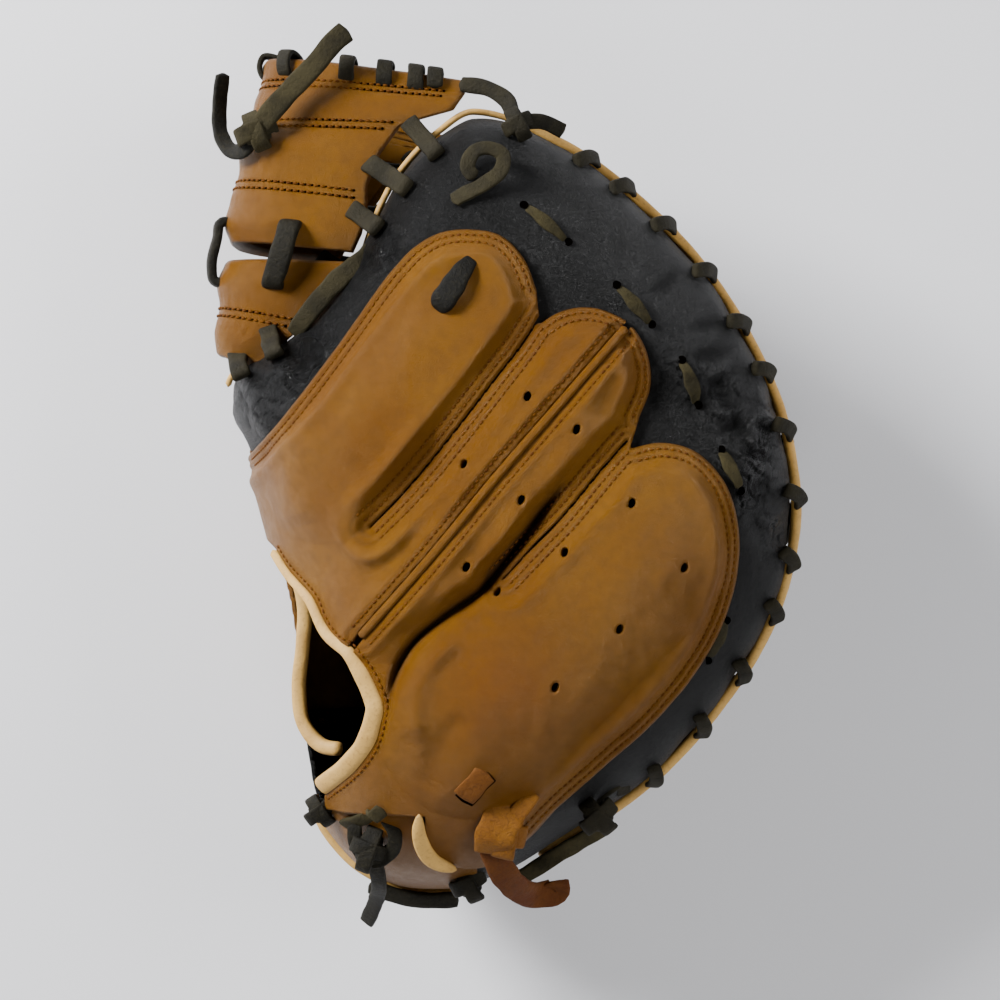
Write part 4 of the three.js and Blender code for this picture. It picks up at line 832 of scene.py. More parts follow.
def grid_faces(rows, columns, around):
    """Quads of a grid of points, counted along its rows; around closes it across its columns."""
    r, c = np.meshgrid(np.arange(rows - 1), np.arange(columns if around else columns - 1), indexing="ij")
    n = (c + 1) % columns
    quads = np.stack([r * columns + c, (r + 1) * columns + c, (r + 1) * columns + n, r * columns + n], -1)
    return quads.reshape(-1, 4)


def rounded_profile(width, thickness, squareness, sides=16):
    """A superellipse: |x| ** squareness + |y| ** squareness = 1, stretched to width and thickness."""
    turn = np.linspace(0, 2 * np.pi, sides, endpoint=False) + np.pi / sides
    c, s = np.cos(turn), np.sin(turn)
    power = 2 / squareness
    return np.stack([width / 2 * np.sign(c) * np.abs(c) ** power,
                     thickness / 2 * np.sign(s) * np.abs(s) ** power], -1)


def carried(line, across, profile, ends=1.0, scale=None):
    """A profile carried along a line. At each point its first axis is the guide direction made square
    to the line and its second is square to both; it shrinks as a quarter circle over the ends."""
    ahead = unit(np.gradient(line, axis=0))
    side = square_to(across, ahead)
    face = np.cross(side, ahead)
    length = run_along(line)
    near = np.minimum(length, length[-1] - length)
    shrink = np.sqrt(np.clip(1 - (1 - np.clip(near / max(ends, 1e-6), 0, 1)) ** 2, 0.05, 1))
    if scale is not None:
        shrink = shrink * scale
    rings = (line[:, None] + side[:, None] * (profile[None, :, :1] * shrink[:, None, None])
             + face[:, None] * (profile[None, :, 1:] * shrink[:, None, None]))
    count, sides = len(line), len(profile)
    faces = [tuple(f) for f in grid_faces(count, sides, True)]
    first, last = tuple(range(sides)), tuple((count - 1) * sides + k for k in range(sides - 1, -1, -1))
    return rings.reshape(-1, 3), faces + [first, last]


def level_across(line):
    """Guide directions for a strip that lies flat: level, and square to the line in plan."""
    ahead = np.gradient(line[:, :3], axis=0)
    return np.stack([-ahead[:, 1], ahead[:, 0], 0 * ahead[:, 0]], -1)


welt_line = smooth_line([(43, 58.6), *CENTRE_SEAM])
welt_line = welt_line[inside_outline(welt_line[:, 0], welt_line[:, 1], tan_outline) > 1.0]
welt_places, welt_up = on_tan(welt_line, 0.2)
welt_points, welt_faces = carried(welt_places, np.cross(welt_up, np.gradient(welt_places, axis=0)),
                                  rounded_profile(2 * WELT_HALF + 0.5, WELT_HEIGHT, 2.6))
make_piece("seam_welt_leather", welt_points, welt_faces, tan_finish("tan_welt"), "tan_leather", "seam_welt",
           values={"crease": np.full(len(welt_points), 0.12)})


# Black band round the lobes: glossy black cowhide with a pebbled grain, stretched over the finger
# plate and creased towards the rim. It runs from under the tan leather's edge to just above the piping.
BAND_TUCK = 6.0
BAND_LIFT = -1.7
PLAIN_ROLL = (0.5, 1.3)  # fall and width of a thin leather's rolled edge
BAND_ROLL = (0.5, 1.4)
WRIST_MARGIN = 9.0  # how far it stays from the wrist's edge, under the tan leather
LIP = 1.3  # how far from the seam the leather ends where the rim is piped
BARE_LIP = 0.2  # and where it isn't
UNPIPED = (165, 235)  # bearings of the rim without piping
HEEL_OUTLINE = np.array([(-110, -106), (-58, -107), (-26, -107), (-22, -121), (-8, -128), (-8, -170),
                         (-110, -170)], float)
wrist_area = np.concatenate([[(-112.0, 14.0), (-84.0, 18.0)], smooth_line(WRIST_EDGE)[::-1],
                             [(-40.0, -112.0), (-112.0, -112.0)]])
CREASES = [
    # bearing in the middle, half width in degrees, share of the reach where it is deepest, depth
    (33.0, 1.5, 0.86, 1.3), (27.5, 1.2, 0.84, 1.1), (38.5, 1.3, 0.88, 0.8), (21.0, 1.0, 0.83, 1.0),
    (16.0, 1.1, 0.86, 1.2), (11.0, 0.9, 0.88, 0.9), (6.5, 1.2, 0.88, 1.2), (2.0, 1.0, 0.9, 0.8),
    (-4.0, 1.3, 0.9, 0.8), (52.0, 1.4, 0.86, 0.8), (-14.0, 1.6, 0.93, 0.6), (66.0, 1.8, 0.82, 0.7),
    (147.0, 1.3, 0.88, 1.3), (152.5, 1.1, 0.9, 1.2), (158.0, 1.2, 0.9, 1.3), (141.0, 1.2, 0.9, 0.9),
]
CRUMPLED = [
    # x, y, size
    (56, 42, 10), (72, 36, 9), (90, 22, 14), (84, 2, 9), (-84, 34, 16), (-66, 50, 12), (-40, 84, 8),
    (97, -12, 8),
]


def lip_turn(bearing, seam, level):
    """The turn where a plate's leather ends: its height off the seam is LIP where the rim is piped."""
    b = np.asarray(bearing) % 360
    piped = (b < UNPIPED[0]) | (b > UNPIPED[1])
    return np.arccos(np.where(piped, LIP, BARE_LIP) / np.abs(level - seam(b)))


def above_piping(x, y, turn):
    """Distance inside the finger leather's lower edge."""
    return TURN_LENGTH * (lip_turn(round_middle(x, y)[0], finger_seam, CROWN) - turn)


def band_measure(x, y, turn):
    """Outside the tan leather but for the tuck, above the piping, and clear of wrist and heel."""
    inside = np.minimum(BAND_TUCK - inside_outline(x, y, tan_outline), above_piping(x, y, turn))
    inside = np.minimum(inside, -inside_outline(x, y, wrist_area))
    inside = np.minimum(inside, distance_to_line(x, y, wrist_edge)[0] - WRIST_MARGIN)
    return np.minimum(inside, 5 - inside_outline(x, y, HEEL_OUTLINE))


def band_relief(x, y, inside):
    """Creases that run in from the rim, bell-shaped across, over small wrinkles and waves. A wrinkle
    is where a rolling field crosses zero."""
    bearing, far = round_middle(x, y)
    share = far / finger_reach(bearing)
    height = 0.5 * waves(x, y, 30, 11)
    for middle, half, where, depth in CREASES:
        off = (bearing - middle + 2.0 * np.sin(share * 14 + middle) + 180) % 360 - 180
        height = height - depth * bell(off, half) * bell(share - where, 0.07)
    crumpled = sum(np.exp(-(((x - at_x) ** 2 + (y - at_y) ** 2) / size**2)) for at_x, at_y, size in CRUMPLED)
    crumpled = np.clip(crumpled, 0, 1)
    height = height + 0.9 * crumpled * waves(x, y, 12, 14)
    for length, seed, depth, sharp in ((9.0, 12, 0.6, 0.16), (4.2, 13, 0.22, 0.2)):
        height = height - depth * (0.06 + 0.94 * crumpled) * bell(waves(x, y, length, seed), sharp)
    height = height - rolled(inside, *BAND_ROLL)
    return height, crumpled


def black_finish(name="black_cowhide"):
    """Black cowhide with greyer rubbed patches and a pebbled grain, matt where it is flat and glossy
    in patches where the attribute crease says that it is stretched and wrinkled."""
    finish, tree, surface, place = new_finish(name)
    broad = noise(tree, place, 26.0, 3.0)
    fine = noise(tree, place, 420.0, 4.0)
    _, normal = grain_bump(tree, place, 0.0019, 0.00055, 0.005, 0.0010)
    colour = mixed(tree, ramped(tree, broad, 0.35, 0.7), (0.0013, 0.0013, 0.0014), (0.0032, 0.0031, 0.0031))
    colour = layered(tree, colour, (fine, 0.56, 0.74, 0.0, 0.6, (0.011, 0.0105, 0.009)))
    patches = ramped(tree, broad, 0.35, 0.6)
    gloss = shader(tree, "Math", {0: attribute(tree, "crease"), 1: patches}, operation="MULTIPLY").outputs[0]
    fill(tree, surface, {"Base Color": colour, "Roughness": ramped(tree, gloss, 0.0, 1.0, 0.5, 0.2),
                         "Specular IOR Level": 0.26, "Normal": normal})
    return finish


BLACK_FINISH = black_finish()
cut_leather("finger_band_leather", FINGER_PLATE, band_measure, band_relief, (-150, 152, -185, 190), 0.85,
            BLACK_FINISH, "black_leather", "finger_band", lift=BAND_LIFT, thickness=1.8)


# Heel panel: plain tan cowhide stretched round the heel, tucked under the flap of the back leather and
# sewn into the rim's piping.
PANEL_TUCK = 4.0


def heel_measure(x, y, turn):
    """Inside the panel's outline, above the piping, and under the flap's edge by the tuck."""
    inside = np.minimum(inside_outline(x, y, HEEL_OUTLINE), PANEL_TUCK - inside_outline(x, y, tan_outline))
    return np.minimum(inside, above_piping(x, y, turn))


def plain_relief(x, y, inside):
    """Low uneven waves, with a rolled edge."""
    return 0.4 * waves(x, y, 24, 21) - rolled(inside, *PLAIN_ROLL), np.zeros(x.shape)


TAN_PLAIN = tan_finish("tan_cowhide_plain")
cut_leather("heel_panel_leather", FINGER_PLATE, heel_measure, plain_relief, (-110, 10, -200, -96), 0.9,
            TAN_PLAIN, "tan_leather", "heel_panel", lift=-0.7, thickness=1.8)


# Thumb's back: tan leather over the thumb with black leather round it, on the side that the mitt
# lies on. Both are pressed flat where they rest.
THUMB_TAN = [(-110, 12), (-78, 24), (-60, 44), (-40, 72), (-20, 94), (-2, 97), (16, 84), (32, 56),
             (40, 20), (38, -20), (26, -56), (6, -78), (-25, -86), (-60, -84), (-110, -82)]
THUMB_PLATE = (thumb_reach, thumb_seam, -FLOOR_SINK)
THUMB_TURN_LENGTH = 50
thumb_outline = smooth_line(THUMB_TAN, 2.0)


def thumb_lip(x, y, turn):
    """Distance inside the thumb leather's upper edge."""
    return THUMB_TURN_LENGTH * (lip_turn(round_middle(x, y)[0], thumb_seam, -FLOOR_SINK) - turn)


def thumb_back_measure(x, y, turn):
    """Inside the tan outline and below the piping."""
    return np.minimum(inside_outline(x, y, thumb_outline), thumb_lip(x, y, turn))


def thumb_band_measure(x, y, turn):
    """Outside the tan outline but for the tuck, and below the piping."""
    return np.minimum(BAND_TUCK - inside_outline(x, y, thumb_outline), thumb_lip(x, y, turn))


def thumb_tan_relief(x, y, inside):
    """Flat flange with two grooves along the edge, over low waves, and painted shade along the edge through
    the attribute crease.
    """
    height = 0.25 * waves(x, y, 30, 31) - rolled(inside, *PLAIN_ROLL)
    for row in STITCH_ROWS:
        height = height - 0.25 * bell(inside - row, 0.42)
    return height, 0.4 * bell(inside, 0.8)


def thumb_band_relief(x, y, inside):
    """Low waves and small wrinkles."""
    height = 0.35 * waves(x, y, 28, 32) - 0.25 * bell(waves(x, y, 8.0, 33), 0.18)
    return height - rolled(inside, *BAND_ROLL), np.zeros(x.shape)


cut_leather("thumb_back_leather", THUMB_PLATE, thumb_back_measure, thumb_tan_relief, (-130, 60, -110, 130),
            1.1, TAN_PLAIN, "tan_leather", "thumb_back", lift=-0.1, thickness=2.0, under=True)
cut_leather("thumb_band_leather", THUMB_PLATE, thumb_band_measure, thumb_band_relief, (-130, 120, -170, 160),
            1.2, BLACK_FINISH, "black_leather", "thumb_band", lift=-1.4, thickness=1.6, under=True)


# Padding: the finger pad, the thumb pad and the padded wall between hand and pocket. They are felt and
# foam under black leather, which shows in the wrist opening, in the pocket and along the open side.
PAD_VOXEL = 0.0028  # metres
PAD_MERGE = 0.00001
PAD_SMOOTHING = 4  # times
PAD_SHRINK = 1.0  # how far the pads stand back under the outer leather, in millimetres
PADS = [
    # node, fill
    ("finger_pad", 0.9),
    ("thumb_pad", 0.85),
    ("padded_wall", 0.8),
]
PAD_FINISH = black_finish("black_lining")


def soft_copy(name, node, finish, shrink):
    """A soft piece from a CAD node: its mesh merged, remeshed in even cells and smoothed, then every
    point moved in along its normal by the shrink and by low waves, so that the leather wrinkles."""
    made = bpy.data.objects.new(name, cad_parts[node].data.copy())
    bpy.context.scene.collection.objects.link(made)
    weld = made.modifiers.new("weld", "WELD")
    weld.merge_threshold = PAD_MERGE
    even = made.modifiers.new("even", "REMESH")
    even.mode = "VOXEL"
    even.voxel_size = PAD_VOXEL
    soften = made.modifiers.new("soften", "SMOOTH")
    soften.iterations = PAD_SMOOTHING
    ready = bpy.data.meshes.new_from_object(made.evaluated_get(bpy.context.evaluated_depsgraph_get()))
    made.modifiers.clear()
    made.data = ready
    count = len(ready.vertices)
    point, normal = np.empty(3 * count), np.empty(3 * count)
    ready.vertices.foreach_get("co", point)
    ready.vertex_normals.foreach_get("vector", normal)
    point, normal = point.reshape(-1, 3), normal.reshape(-1, 3)
    x, y, z = (1000 * point).T
    depth = shrink + 0.25 * waves(x + 0.6 * z, y - 0.4 * z, 18, 41) + 0.12 * waves(x - z, y + z, 6, 42)
    ready.vertices.foreach_set("co", (point - normal * depth[:, None] / 1000).ravel())
    ready.polygons.foreach_set("use_smooth", np.full(len(ready.polygons), True))
    ready.materials.clear()
    ready.materials.append(finish)
    ready.update()
    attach(made, "root")
    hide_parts(node)
    return made


for pad_node, pad_fill in PADS:
    pad = soft_copy(pad_node + "_leather", pad_node, PAD_FINISH, PAD_SHRINK)


# Web: two pieces of folded tan cowhide that bend round the left side from the finger rim to the thumb
# rim. Each is sewn through with double rows, and the leather rolls up between them.
WEB_OUTSIDE = 6.0  # how far outside the thumb rim its end is
WEB_MIDDLE_LEVEL = 58.0
WEB_SQUARENESS = 0.62
WEB_THICKNESS = 4.0
WEB_ROW = 1.2  # half the distance between two rows of a double row
WEB_CELL = 0.8  # of its grid, across the rows
WEB_ARC = 60  # millimetres of leather to a radian round the left side
WEB_GROOVE = (0.3, 0.45)  # depth and half width of the groove under a row of stitches
WEB_ROLL = (0.9, 1.6)
WEB_UPPER = np.array([
    # bearing on the thumb rim, x and y of its leftmost point, x and y of its end on the finger rim
    (94.5, -83, 155, -12, 145), (98.5, -84, 147, -12, 140), (102, -86, 139, -16, 134),
    (105.5, -88, 131, -34, 129), (109, -90, 123, -41.5, 118.5), (113, -92, 114, -45.5, 108),
    (117, -94, 105, -45.5, 99.5), (121, -95, 97, -47.5, 91.5), (125, -95, 90, -50.5, 85)], float)
WEB_LOWER = np.array([(128, -97, 84, -51, 82), (134, -98, 76, -57.5, 72), (140, -99, 68, -65, 62),
                      (146, -100, 59, -75, 54), (152, -100, 51, -87, 45)], float)
UPPER_ROLLS = [0.4, 0.3, 1.2, 0.2, 2.2, 0.6, 1.6, 2.6, 0.6]  # rise of the leather at each row
LOWER_ROLLS = [0.2, 2.0, 0.3, 1.2, 0.2]
UPPER_SEAMS = (1.15, 3.0, 5.4)  # rows with stitches
LOWER_SEAMS = (2.2,)


def rim_at(reach, bearing):
    """Edge of a rim in plan at bearings in degrees, with the ways along it and out of it."""
    def at(b):
        a = np.radians(b)
        return MIDDLE + reach(b)[..., None] * np.stack([np.cos(a), np.sin(a)], -1)

    along = unit(at(bearing + 1) - at(bearing - 1))
    return at(bearing), along, np.stack([along[..., 1], -along[..., 0]], -1)


def web_sheet(rows, s, angle):
    """Point of the web's smooth sheet at s rows from its top and at an angle from the finger rim (0)
    round the left side to the thumb rim (a half turn): out ** k + level ** k = 1, k = 2 / squareness."""
    bearing, left_x, left_y, end_x, end_y = (np.interp(s, np.arange(len(rows)), rows[:, k]) for k in range(5))
    bend = 1 / WEB_SQUARENESS
    turn = np.arctan2(np.abs(np.sin(angle)) ** bend, np.abs(np.cos(angle)) ** bend)
    out, level = np.sin(turn) ** WEB_SQUARENESS, np.cos(turn) ** WEB_SQUARENESS
    edge, _, away = rim_at(thumb_reach, bearing)
    under_thumb = (thumb_seam(bearing) - WEB_THICKNESS / 2)[..., None]
    on_thumb = np.concatenate([edge + WEB_OUTSIDE * away, under_thumb], -1)
    on_finger = np.stack([end_x, end_y, finger_seam(bearing) + WEB_THICKNESS / 2], -1)
    start = np.where((angle <= np.pi / 2)[..., None], on_finger, on_thumb)
    x = start[..., 0] + (left_x - start[..., 0]) * out
    y = start[..., 1] + (left_y - start[..., 1]) * out
    return np.stack([x, y, WEB_MIDDLE_LEVEL + (start[..., 2] - WEB_MIDDLE_LEVEL) * level], -1)


def web_place(rows, rolls, s, angle, lift=0.0):
    """Point on the web's leather and its outward normal, across two small steps of the smooth sheet.
    The leather rises between the sewn rows by a cosine blend of the rolls, less at its two ends."""
    s, angle = np.broadcast_arrays(np.asarray(s, float), np.asarray(angle, float))
    down = web_sheet(rows, s + 0.05, angle) - web_sheet(rows, s - 0.05, angle)
    a = np.clip(angle, 0.02, np.pi - 0.02)
    round_side = web_sheet(rows, s, a + 0.01) - web_sheet(rows, s, a - 0.01)
    normal = unit(np.cross(round_side, down))
    whole = np.clip(np.floor(s), 0, len(rolls) - 2).astype(int)
    blend = (1 - np.cos(np.pi * np.clip(s - whole, 0, 1))) / 2
    roll = np.array(rolls)[whole] * (1 - blend) + np.array(rolls)[whole + 1] * blend
    height = roll * np.sqrt(np.abs(np.sin(angle))) + lift
    return web_sheet(rows, s, angle) + normal * height[..., None], normal


def row_spacing(rows):
    """Mean distance between two rows of the web's table, in millimetres."""
    return np.linalg.norm(np.diff(rows[:, 1:3], axis=0), axis=1).mean()


def web_piece(name, node, rows, rolls, seams, seed, finish):
    """Grid of the web's leather with a groove under each row of stitches, fine pulls that run into the
    sewn rows, and rolled edges. It is a wall as thick as two folded leathers."""
    last = len(rows) - 1
    pitch = row_spacing(rows)
    down, around = np.linspace(0, last, int(last * pitch / WEB_CELL)), np.linspace(0, np.pi, 150)
    s, angle = np.meshgrid(down, around, indexing="ij")
    point, normal = web_place(rows, rolls, s, angle)
    height = 0.14 * waves(s * pitch, angle * 45, 22, seed)
    height = height + 0.04 * waves(s * pitch, angle * WEB_ARC, 7, seed + 1)
    for seam in seams:
        far = (s - seam) * pitch
        for side in (-WEB_ROW, WEB_ROW):
            height = height - WEB_GROOVE[0] * bell(far - side, WEB_GROOVE[1])
        pulls = np.maximum(0, waves(angle * WEB_ARC, s * 0.5, 5, seed + 2)) * bell(np.abs(far) - 4.5, 2.5)
        height = height - 0.12 * pulls
    edge = np.minimum(np.minimum(s, last - s) * pitch, np.minimum(angle, np.pi - angle) * WEB_ARC)
    height = height - rolled(edge, *WEB_ROLL)
    points = (point + normal * height[..., None]).reshape(-1, 3)
    # Painted shade: the leather is darkened at its rolled edges and along its sewn rows, through the
    # attribute crease.
    crease = 0.35 * bell(edge, 0.8).ravel()
    for seam in seams:
        crease = crease + 0.18 * bell(((s - seam) * pitch).ravel(), 1.2)
    faces = grid_faces(*s.shape, False)[:, ::-1].tolist()
    values = {"crease": np.clip(crease, 0, 1)}
    return wall(make_piece(name, points, faces, finish, "tan_leather", node, values=values), WEB_THICKNESS)


WEB_FINISH = tan_finish("tan_web_cowhide")
web_piece("web_upper_leather", "web_upper", WEB_UPPER, UPPER_ROLLS, UPPER_SEAMS, 51, WEB_FINISH)
web_piece("web_lower_leather", "web_lower", WEB_LOWER, LOWER_ROLLS, LOWER_SEAMS, 57, WEB_FINISH)
web_rows = []
for rows, rolls, seams in ((WEB_UPPER, UPPER_ROLLS, UPPER_SEAMS), (WEB_LOWER, LOWER_ROLLS, LOWER_SEAMS)):
    for seam in seams:
        for side in (-WEB_ROW, WEB_ROW):
            around = np.linspace(0.1, np.pi - 0.1, 160)
            web_rows.append(web_place(rows, rolls, seam + side / row_spacing(rows), around, lift=0.12))
sew("web", web_rows)


# Piping along the rims: leather rolled round a cord and sewn into the rim. It is honey-coloured round
# the finger tips and paler towards the heel and the crotch, and thinner beside the web.
PIPING_RADIUS = 1.9
PIPING_HIDDEN = (132, 15)  # bearing and half width of the part that lies under the band and its lace
PIPING_TUCK = (4, 3)  # how far in and down it goes there
PIPING_THIN = (80, 8, 0.4)  # bearing where it thins, over how many degrees, and by what share
PIPING_RISE = 0.7  # over the seam
HONEY_FADE = 25  # degrees
PIPINGS = [
    # node, on the thumb rim, bearings from and to
    ("finger_piping", False, 160, -84),
    ("thumb_piping", True, 144, -72),
    ("heel_piping", False, -96, -120),
]
HONEY_BEARINGS = (92, 12)  # it is honey-coloured from the first to the second


def pale_finish(name):
    """Natural veg-tanned leather: cream to honey by the attribute toning, darker where it is handled,
    with fine lengthwise fibres and small dirt specks."""
    finish, tree, surface, place = new_finish(name)
    broad = noise(tree, place, 90.0, 4.0, Roughness=0.65)
    fine = noise(tree, place, 900.0, 3.0)
    colour = layered(
        tree, mixed(tree, attribute(tree, "toning"), (0.55, 0.33, 0.085), (0.66, 0.36, 0.075)),
        (broad, 0.42, 0.7, 0.0, 0.4, (0.32, 0.16, 0.035)),
        (fine, 0.55, 0.8, 0.0, 0.5, (0.16, 0.07, 0.015)))
    normal = bump(tree, broad, 0.6, 0.0008, bump(tree, fine, 0.5, 0.00025))
    fill(tree, surface, {"Base Color": colour, "Roughness": 0.68, "Normal": normal})
    return finish


PALE_FINISH = pale_finish("pale_leather")
for node, on_thumb, start, stop in PIPINGS:
    reach, seam = (thumb_reach, thumb_seam) if on_thumb else (finger_reach, finger_seam)
    bearing = np.linspace(start, stop, int(abs(stop - start) * 1.6))
    edge, along, out = rim_at(reach, bearing)
    hidden = bell(bearing - PIPING_HIDDEN[0], PIPING_HIDDEN[1], 4)[:, None] * (not on_thumb)
    inward, down = PIPING_TUCK
    place = np.concatenate([edge - inward * hidden * out, seam(bearing)[:, None] - down * hidden], -1)
    place[:, 2] += (PIPING_RISE * (-1 if on_thumb else 1)) + 0.2 * waves(bearing, 0 * bearing, 9, 61)
    sky = np.tile([0.0, 0.0, 1.0], (len(place), 1))
    uneven = 1 + 0.03 * waves(bearing, 0 * bearing, 5, 62)
    uneven = uneven * (1 - PIPING_THIN[2] * np.clip((bearing - PIPING_THIN[0]) / PIPING_THIN[1], 0, 1))
    round_cord = rounded_profile(2 * PIPING_RADIUS, 2 * PIPING_RADIUS, 2.0, 14)
    points, faces = carried(place, sky, round_cord, ends=1.6, scale=uneven)
    first, last = HONEY_BEARINGS
    honey = np.clip((first - bearing) / HONEY_FADE, 0, 1) * np.clip((bearing - last) / HONEY_FADE + 1, 0, 1)
    make_piece(node + "_leather", points, faces, PALE_FINISH, "natural_leather", node,
               values={"toning": np.repeat(0.1 + 0.75 * honey, len(round_cord))})

# Bindings: strips of cream leather folded over the raw edges of the wrist opening and of the heel
# flap, glued and sewn through. They are thick, a little lumpy, and soiled by the hand.
BINDING = (6.6, 4.6)  # width and thickness
FLAP_BINDING = (5.8, 3.4)
LOWER_BINDING = (5.2, 5.2)
FLAP_EDGE = [(-14, -125), *HEEL_FLAP[2:]]
LOWER_EDGE = [(-77, -20, 57), (-71.5, -30, 57), (-69.8, -40, 57), (-70.5, -52, 56), (-72, -68, 54),
              (-70, -80.5, 55), (-63.5, -87.5, 58), (-56, -88.5, 62)]


def binding(node, line, across, size, seed, taper=(1, 1)):
    """Folded strip: a rounded profile along the edge. Its size rolls by a few hundredths, times the
    taper's values, spread evenly along it."""
    run = np.arange(len(line)) * 1.0
    uneven = 1 + 0.025 * waves(run, 0 * run, 11, seed)
    uneven = uneven * np.interp(run, np.linspace(0, run[-1], len(taper)), taper)
    profile = rounded_profile(*size, 2.6, 18)
    points, faces = carried(line, across, profile, ends=1.8, scale=uneven)
    toning = 0.12 + 0.1 * waves(run, 0 * run, 30, seed + 1)
    make_piece(node + "_leather", points, faces, PALE_FINISH, "natural_leather", node,
               values={"toning": np.repeat(toning, len(profile))})


def edge_binding(node, rows, size, lift, seed, taper):
    """Binding along an edge of the tan leather, just outside it."""
    edge = smooth_line(rows, 1.2)
    height = over_back(edge[:, 0], edge[:, 1])[0][:, 2] + lobe_relief(edge[:, 0], edge[:, 1]).clip(-1.5, 2)
    line = beside(edge, size[0] / 2 - 0.6)
    line = np.stack([line[:, 0], line[:, 1], height + lift], -1)
    binding(node, line, level_across(line), size, seed, taper)


edge_binding("upper_wrist_binding", WRIST_EDGE, BINDING, 0.2, 71, (1, 1, 1, 0.85, 0.6, 0.5, 0.45))
edge_binding("flap_binding", FLAP_EDGE, FLAP_BINDING, 1.7, 73, (0.35, 0.8, 1, 1, 0.75, 0.3))
wrist_row = beside(smooth_line(WRIST_EDGE), -1.6)
sew("wrist", [on_tan(wrist_row, THREAD_SINK)])
lower_line = smooth_line(LOWER_EDGE, 1.2)
binding("lower_wrist_binding", lower_line, level_across(lower_line), LOWER_BINDING, 75)


# Laces: rawhide lace about 6 mm wide and 2 mm thick, dyed charcoal, with a smooth side and a suede
# one that wear has turned olive. It is whipped over the rims through punched holes.
LACE = (5.6, 1.9)
LACE_OVER = 0.5  # height of the lace's middle over the plate's surface
UNDER_LIFT = 1.8  # how far under the plate it runs on
POCKET_ROOF = 58.0  # height of the pocket's two faces
POCKET_FLOOR = 38.0


def lace_finish():
    """Dyed rawhide: charcoal on its smooth side and dull olive brown on its suede side, by the
    attribute suede, paler in small specks of rubbed nap, with a short nap in its bump."""
    finish, tree, surface, place = new_finish("rawhide_lace")
    suede = attribute(tree, "suede")
    broad = noise(tree, place, 120.0, 3.0)
    nap = noise(tree, place, 800.0, 4.0, Roughness=0.75)
    colour = layered(
        tree, mixed(tree, suede, (0.0022, 0.0021, 0.0018), (0.050, 0.041, 0.017)),
        (nap, 0.48, 0.7, 0.0, 0.6, (0.030, 0.025, 0.012)),
        (broad, 0.4, 0.7, 0.0, 0.6, (0.0018, 0.0017, 0.0015)))
    fill(tree, surface, {"Base Color": colour, "Roughness": ramped(tree, suede, 0.0, 1.0, 0.58, 0.92),
                         "Specular IOR Level": 0.16, "Normal": bump(tree, nap, 1.0, 0.0007)})
    return finish


LACE_FINISH = lace_finish()


def eased(values, count):
    """Values spread evenly over so many steps, joined by a smooth curve."""
    curve = smooth_line(np.stack([np.linspace(0, 100, len(values)), values], -1), 1.0)
    return np.interp(np.linspace(0, 100, count), curve[:, 0], curve[:, 1])


def lace_shape(rows, guides, size=LACE, ends=0.5, seed=80, shape=None):
    """Points and faces of a lace through rows with guides across its width. Its size rolls unevenly
    by a few hundredths along it, times the shape's values where it swells or tapers."""
    line = smooth_line(np.concatenate([rows, guides], 1), 0.9)
    run = np.arange(len(line)) * 0.9
    uneven = 1 + 0.04 * waves(run, 0 * run, 8, seed)
    if shape is not None:
        uneven = uneven * eased(shape, len(run))
    return carried(line[:, :3], line[:, 3:], rounded_profile(*size, 4.0, 16), ends=ends, scale=uneven)


def lace(node, shapes, suede=0.25, extra=False, finish=LACE_FINISH, slot="lace_leather"):
    """A piece of lace out of one or more shapes. It stands for its node, and an extra one for none. The
    attribute suede is the same all over it."""
    points, faces = joined(shapes)
    name, nodes = (node, []) if extra else (node + "_leather", [node])
    make_piece(name, points, faces, finish, slot, *nodes, values={"suede": np.full(len(points), suede)})


def face_height(reach, seam, level, x, y):
    """Height of a plate's face over a point in plan, pressed flat at the ground."""
    bearing, far = round_middle(x, y)
    share = np.minimum(far / reach(bearing), 1)
    return np.maximum(seam(bearing) + (level - seam(bearing)) * np.sqrt(1 - share**ROUNDING), 0)


def off_face(reach, seam, level, bearing, inset, lift):
    """Points over (or, with a negative lift, under) a plate's face, at a distance inside its rim."""
    edge, _, out = rim_at(reach, bearing)
    place = edge - inset * out
    x, y = place.T
    step = 0.4 * out
    slope = (face_height(reach, seam, level, x - step[:, 0], y - step[:, 1])
             - face_height(reach, seam, level, x + step[:, 0], y + step[:, 1])) / 0.8
    tilt = np.hypot(1, slope)
    z = face_height(reach, seam, level, x, y) + lift / tilt
    return np.concatenate([place + out * (slope * lift / tilt)[:, None], z[:, None]], -1)


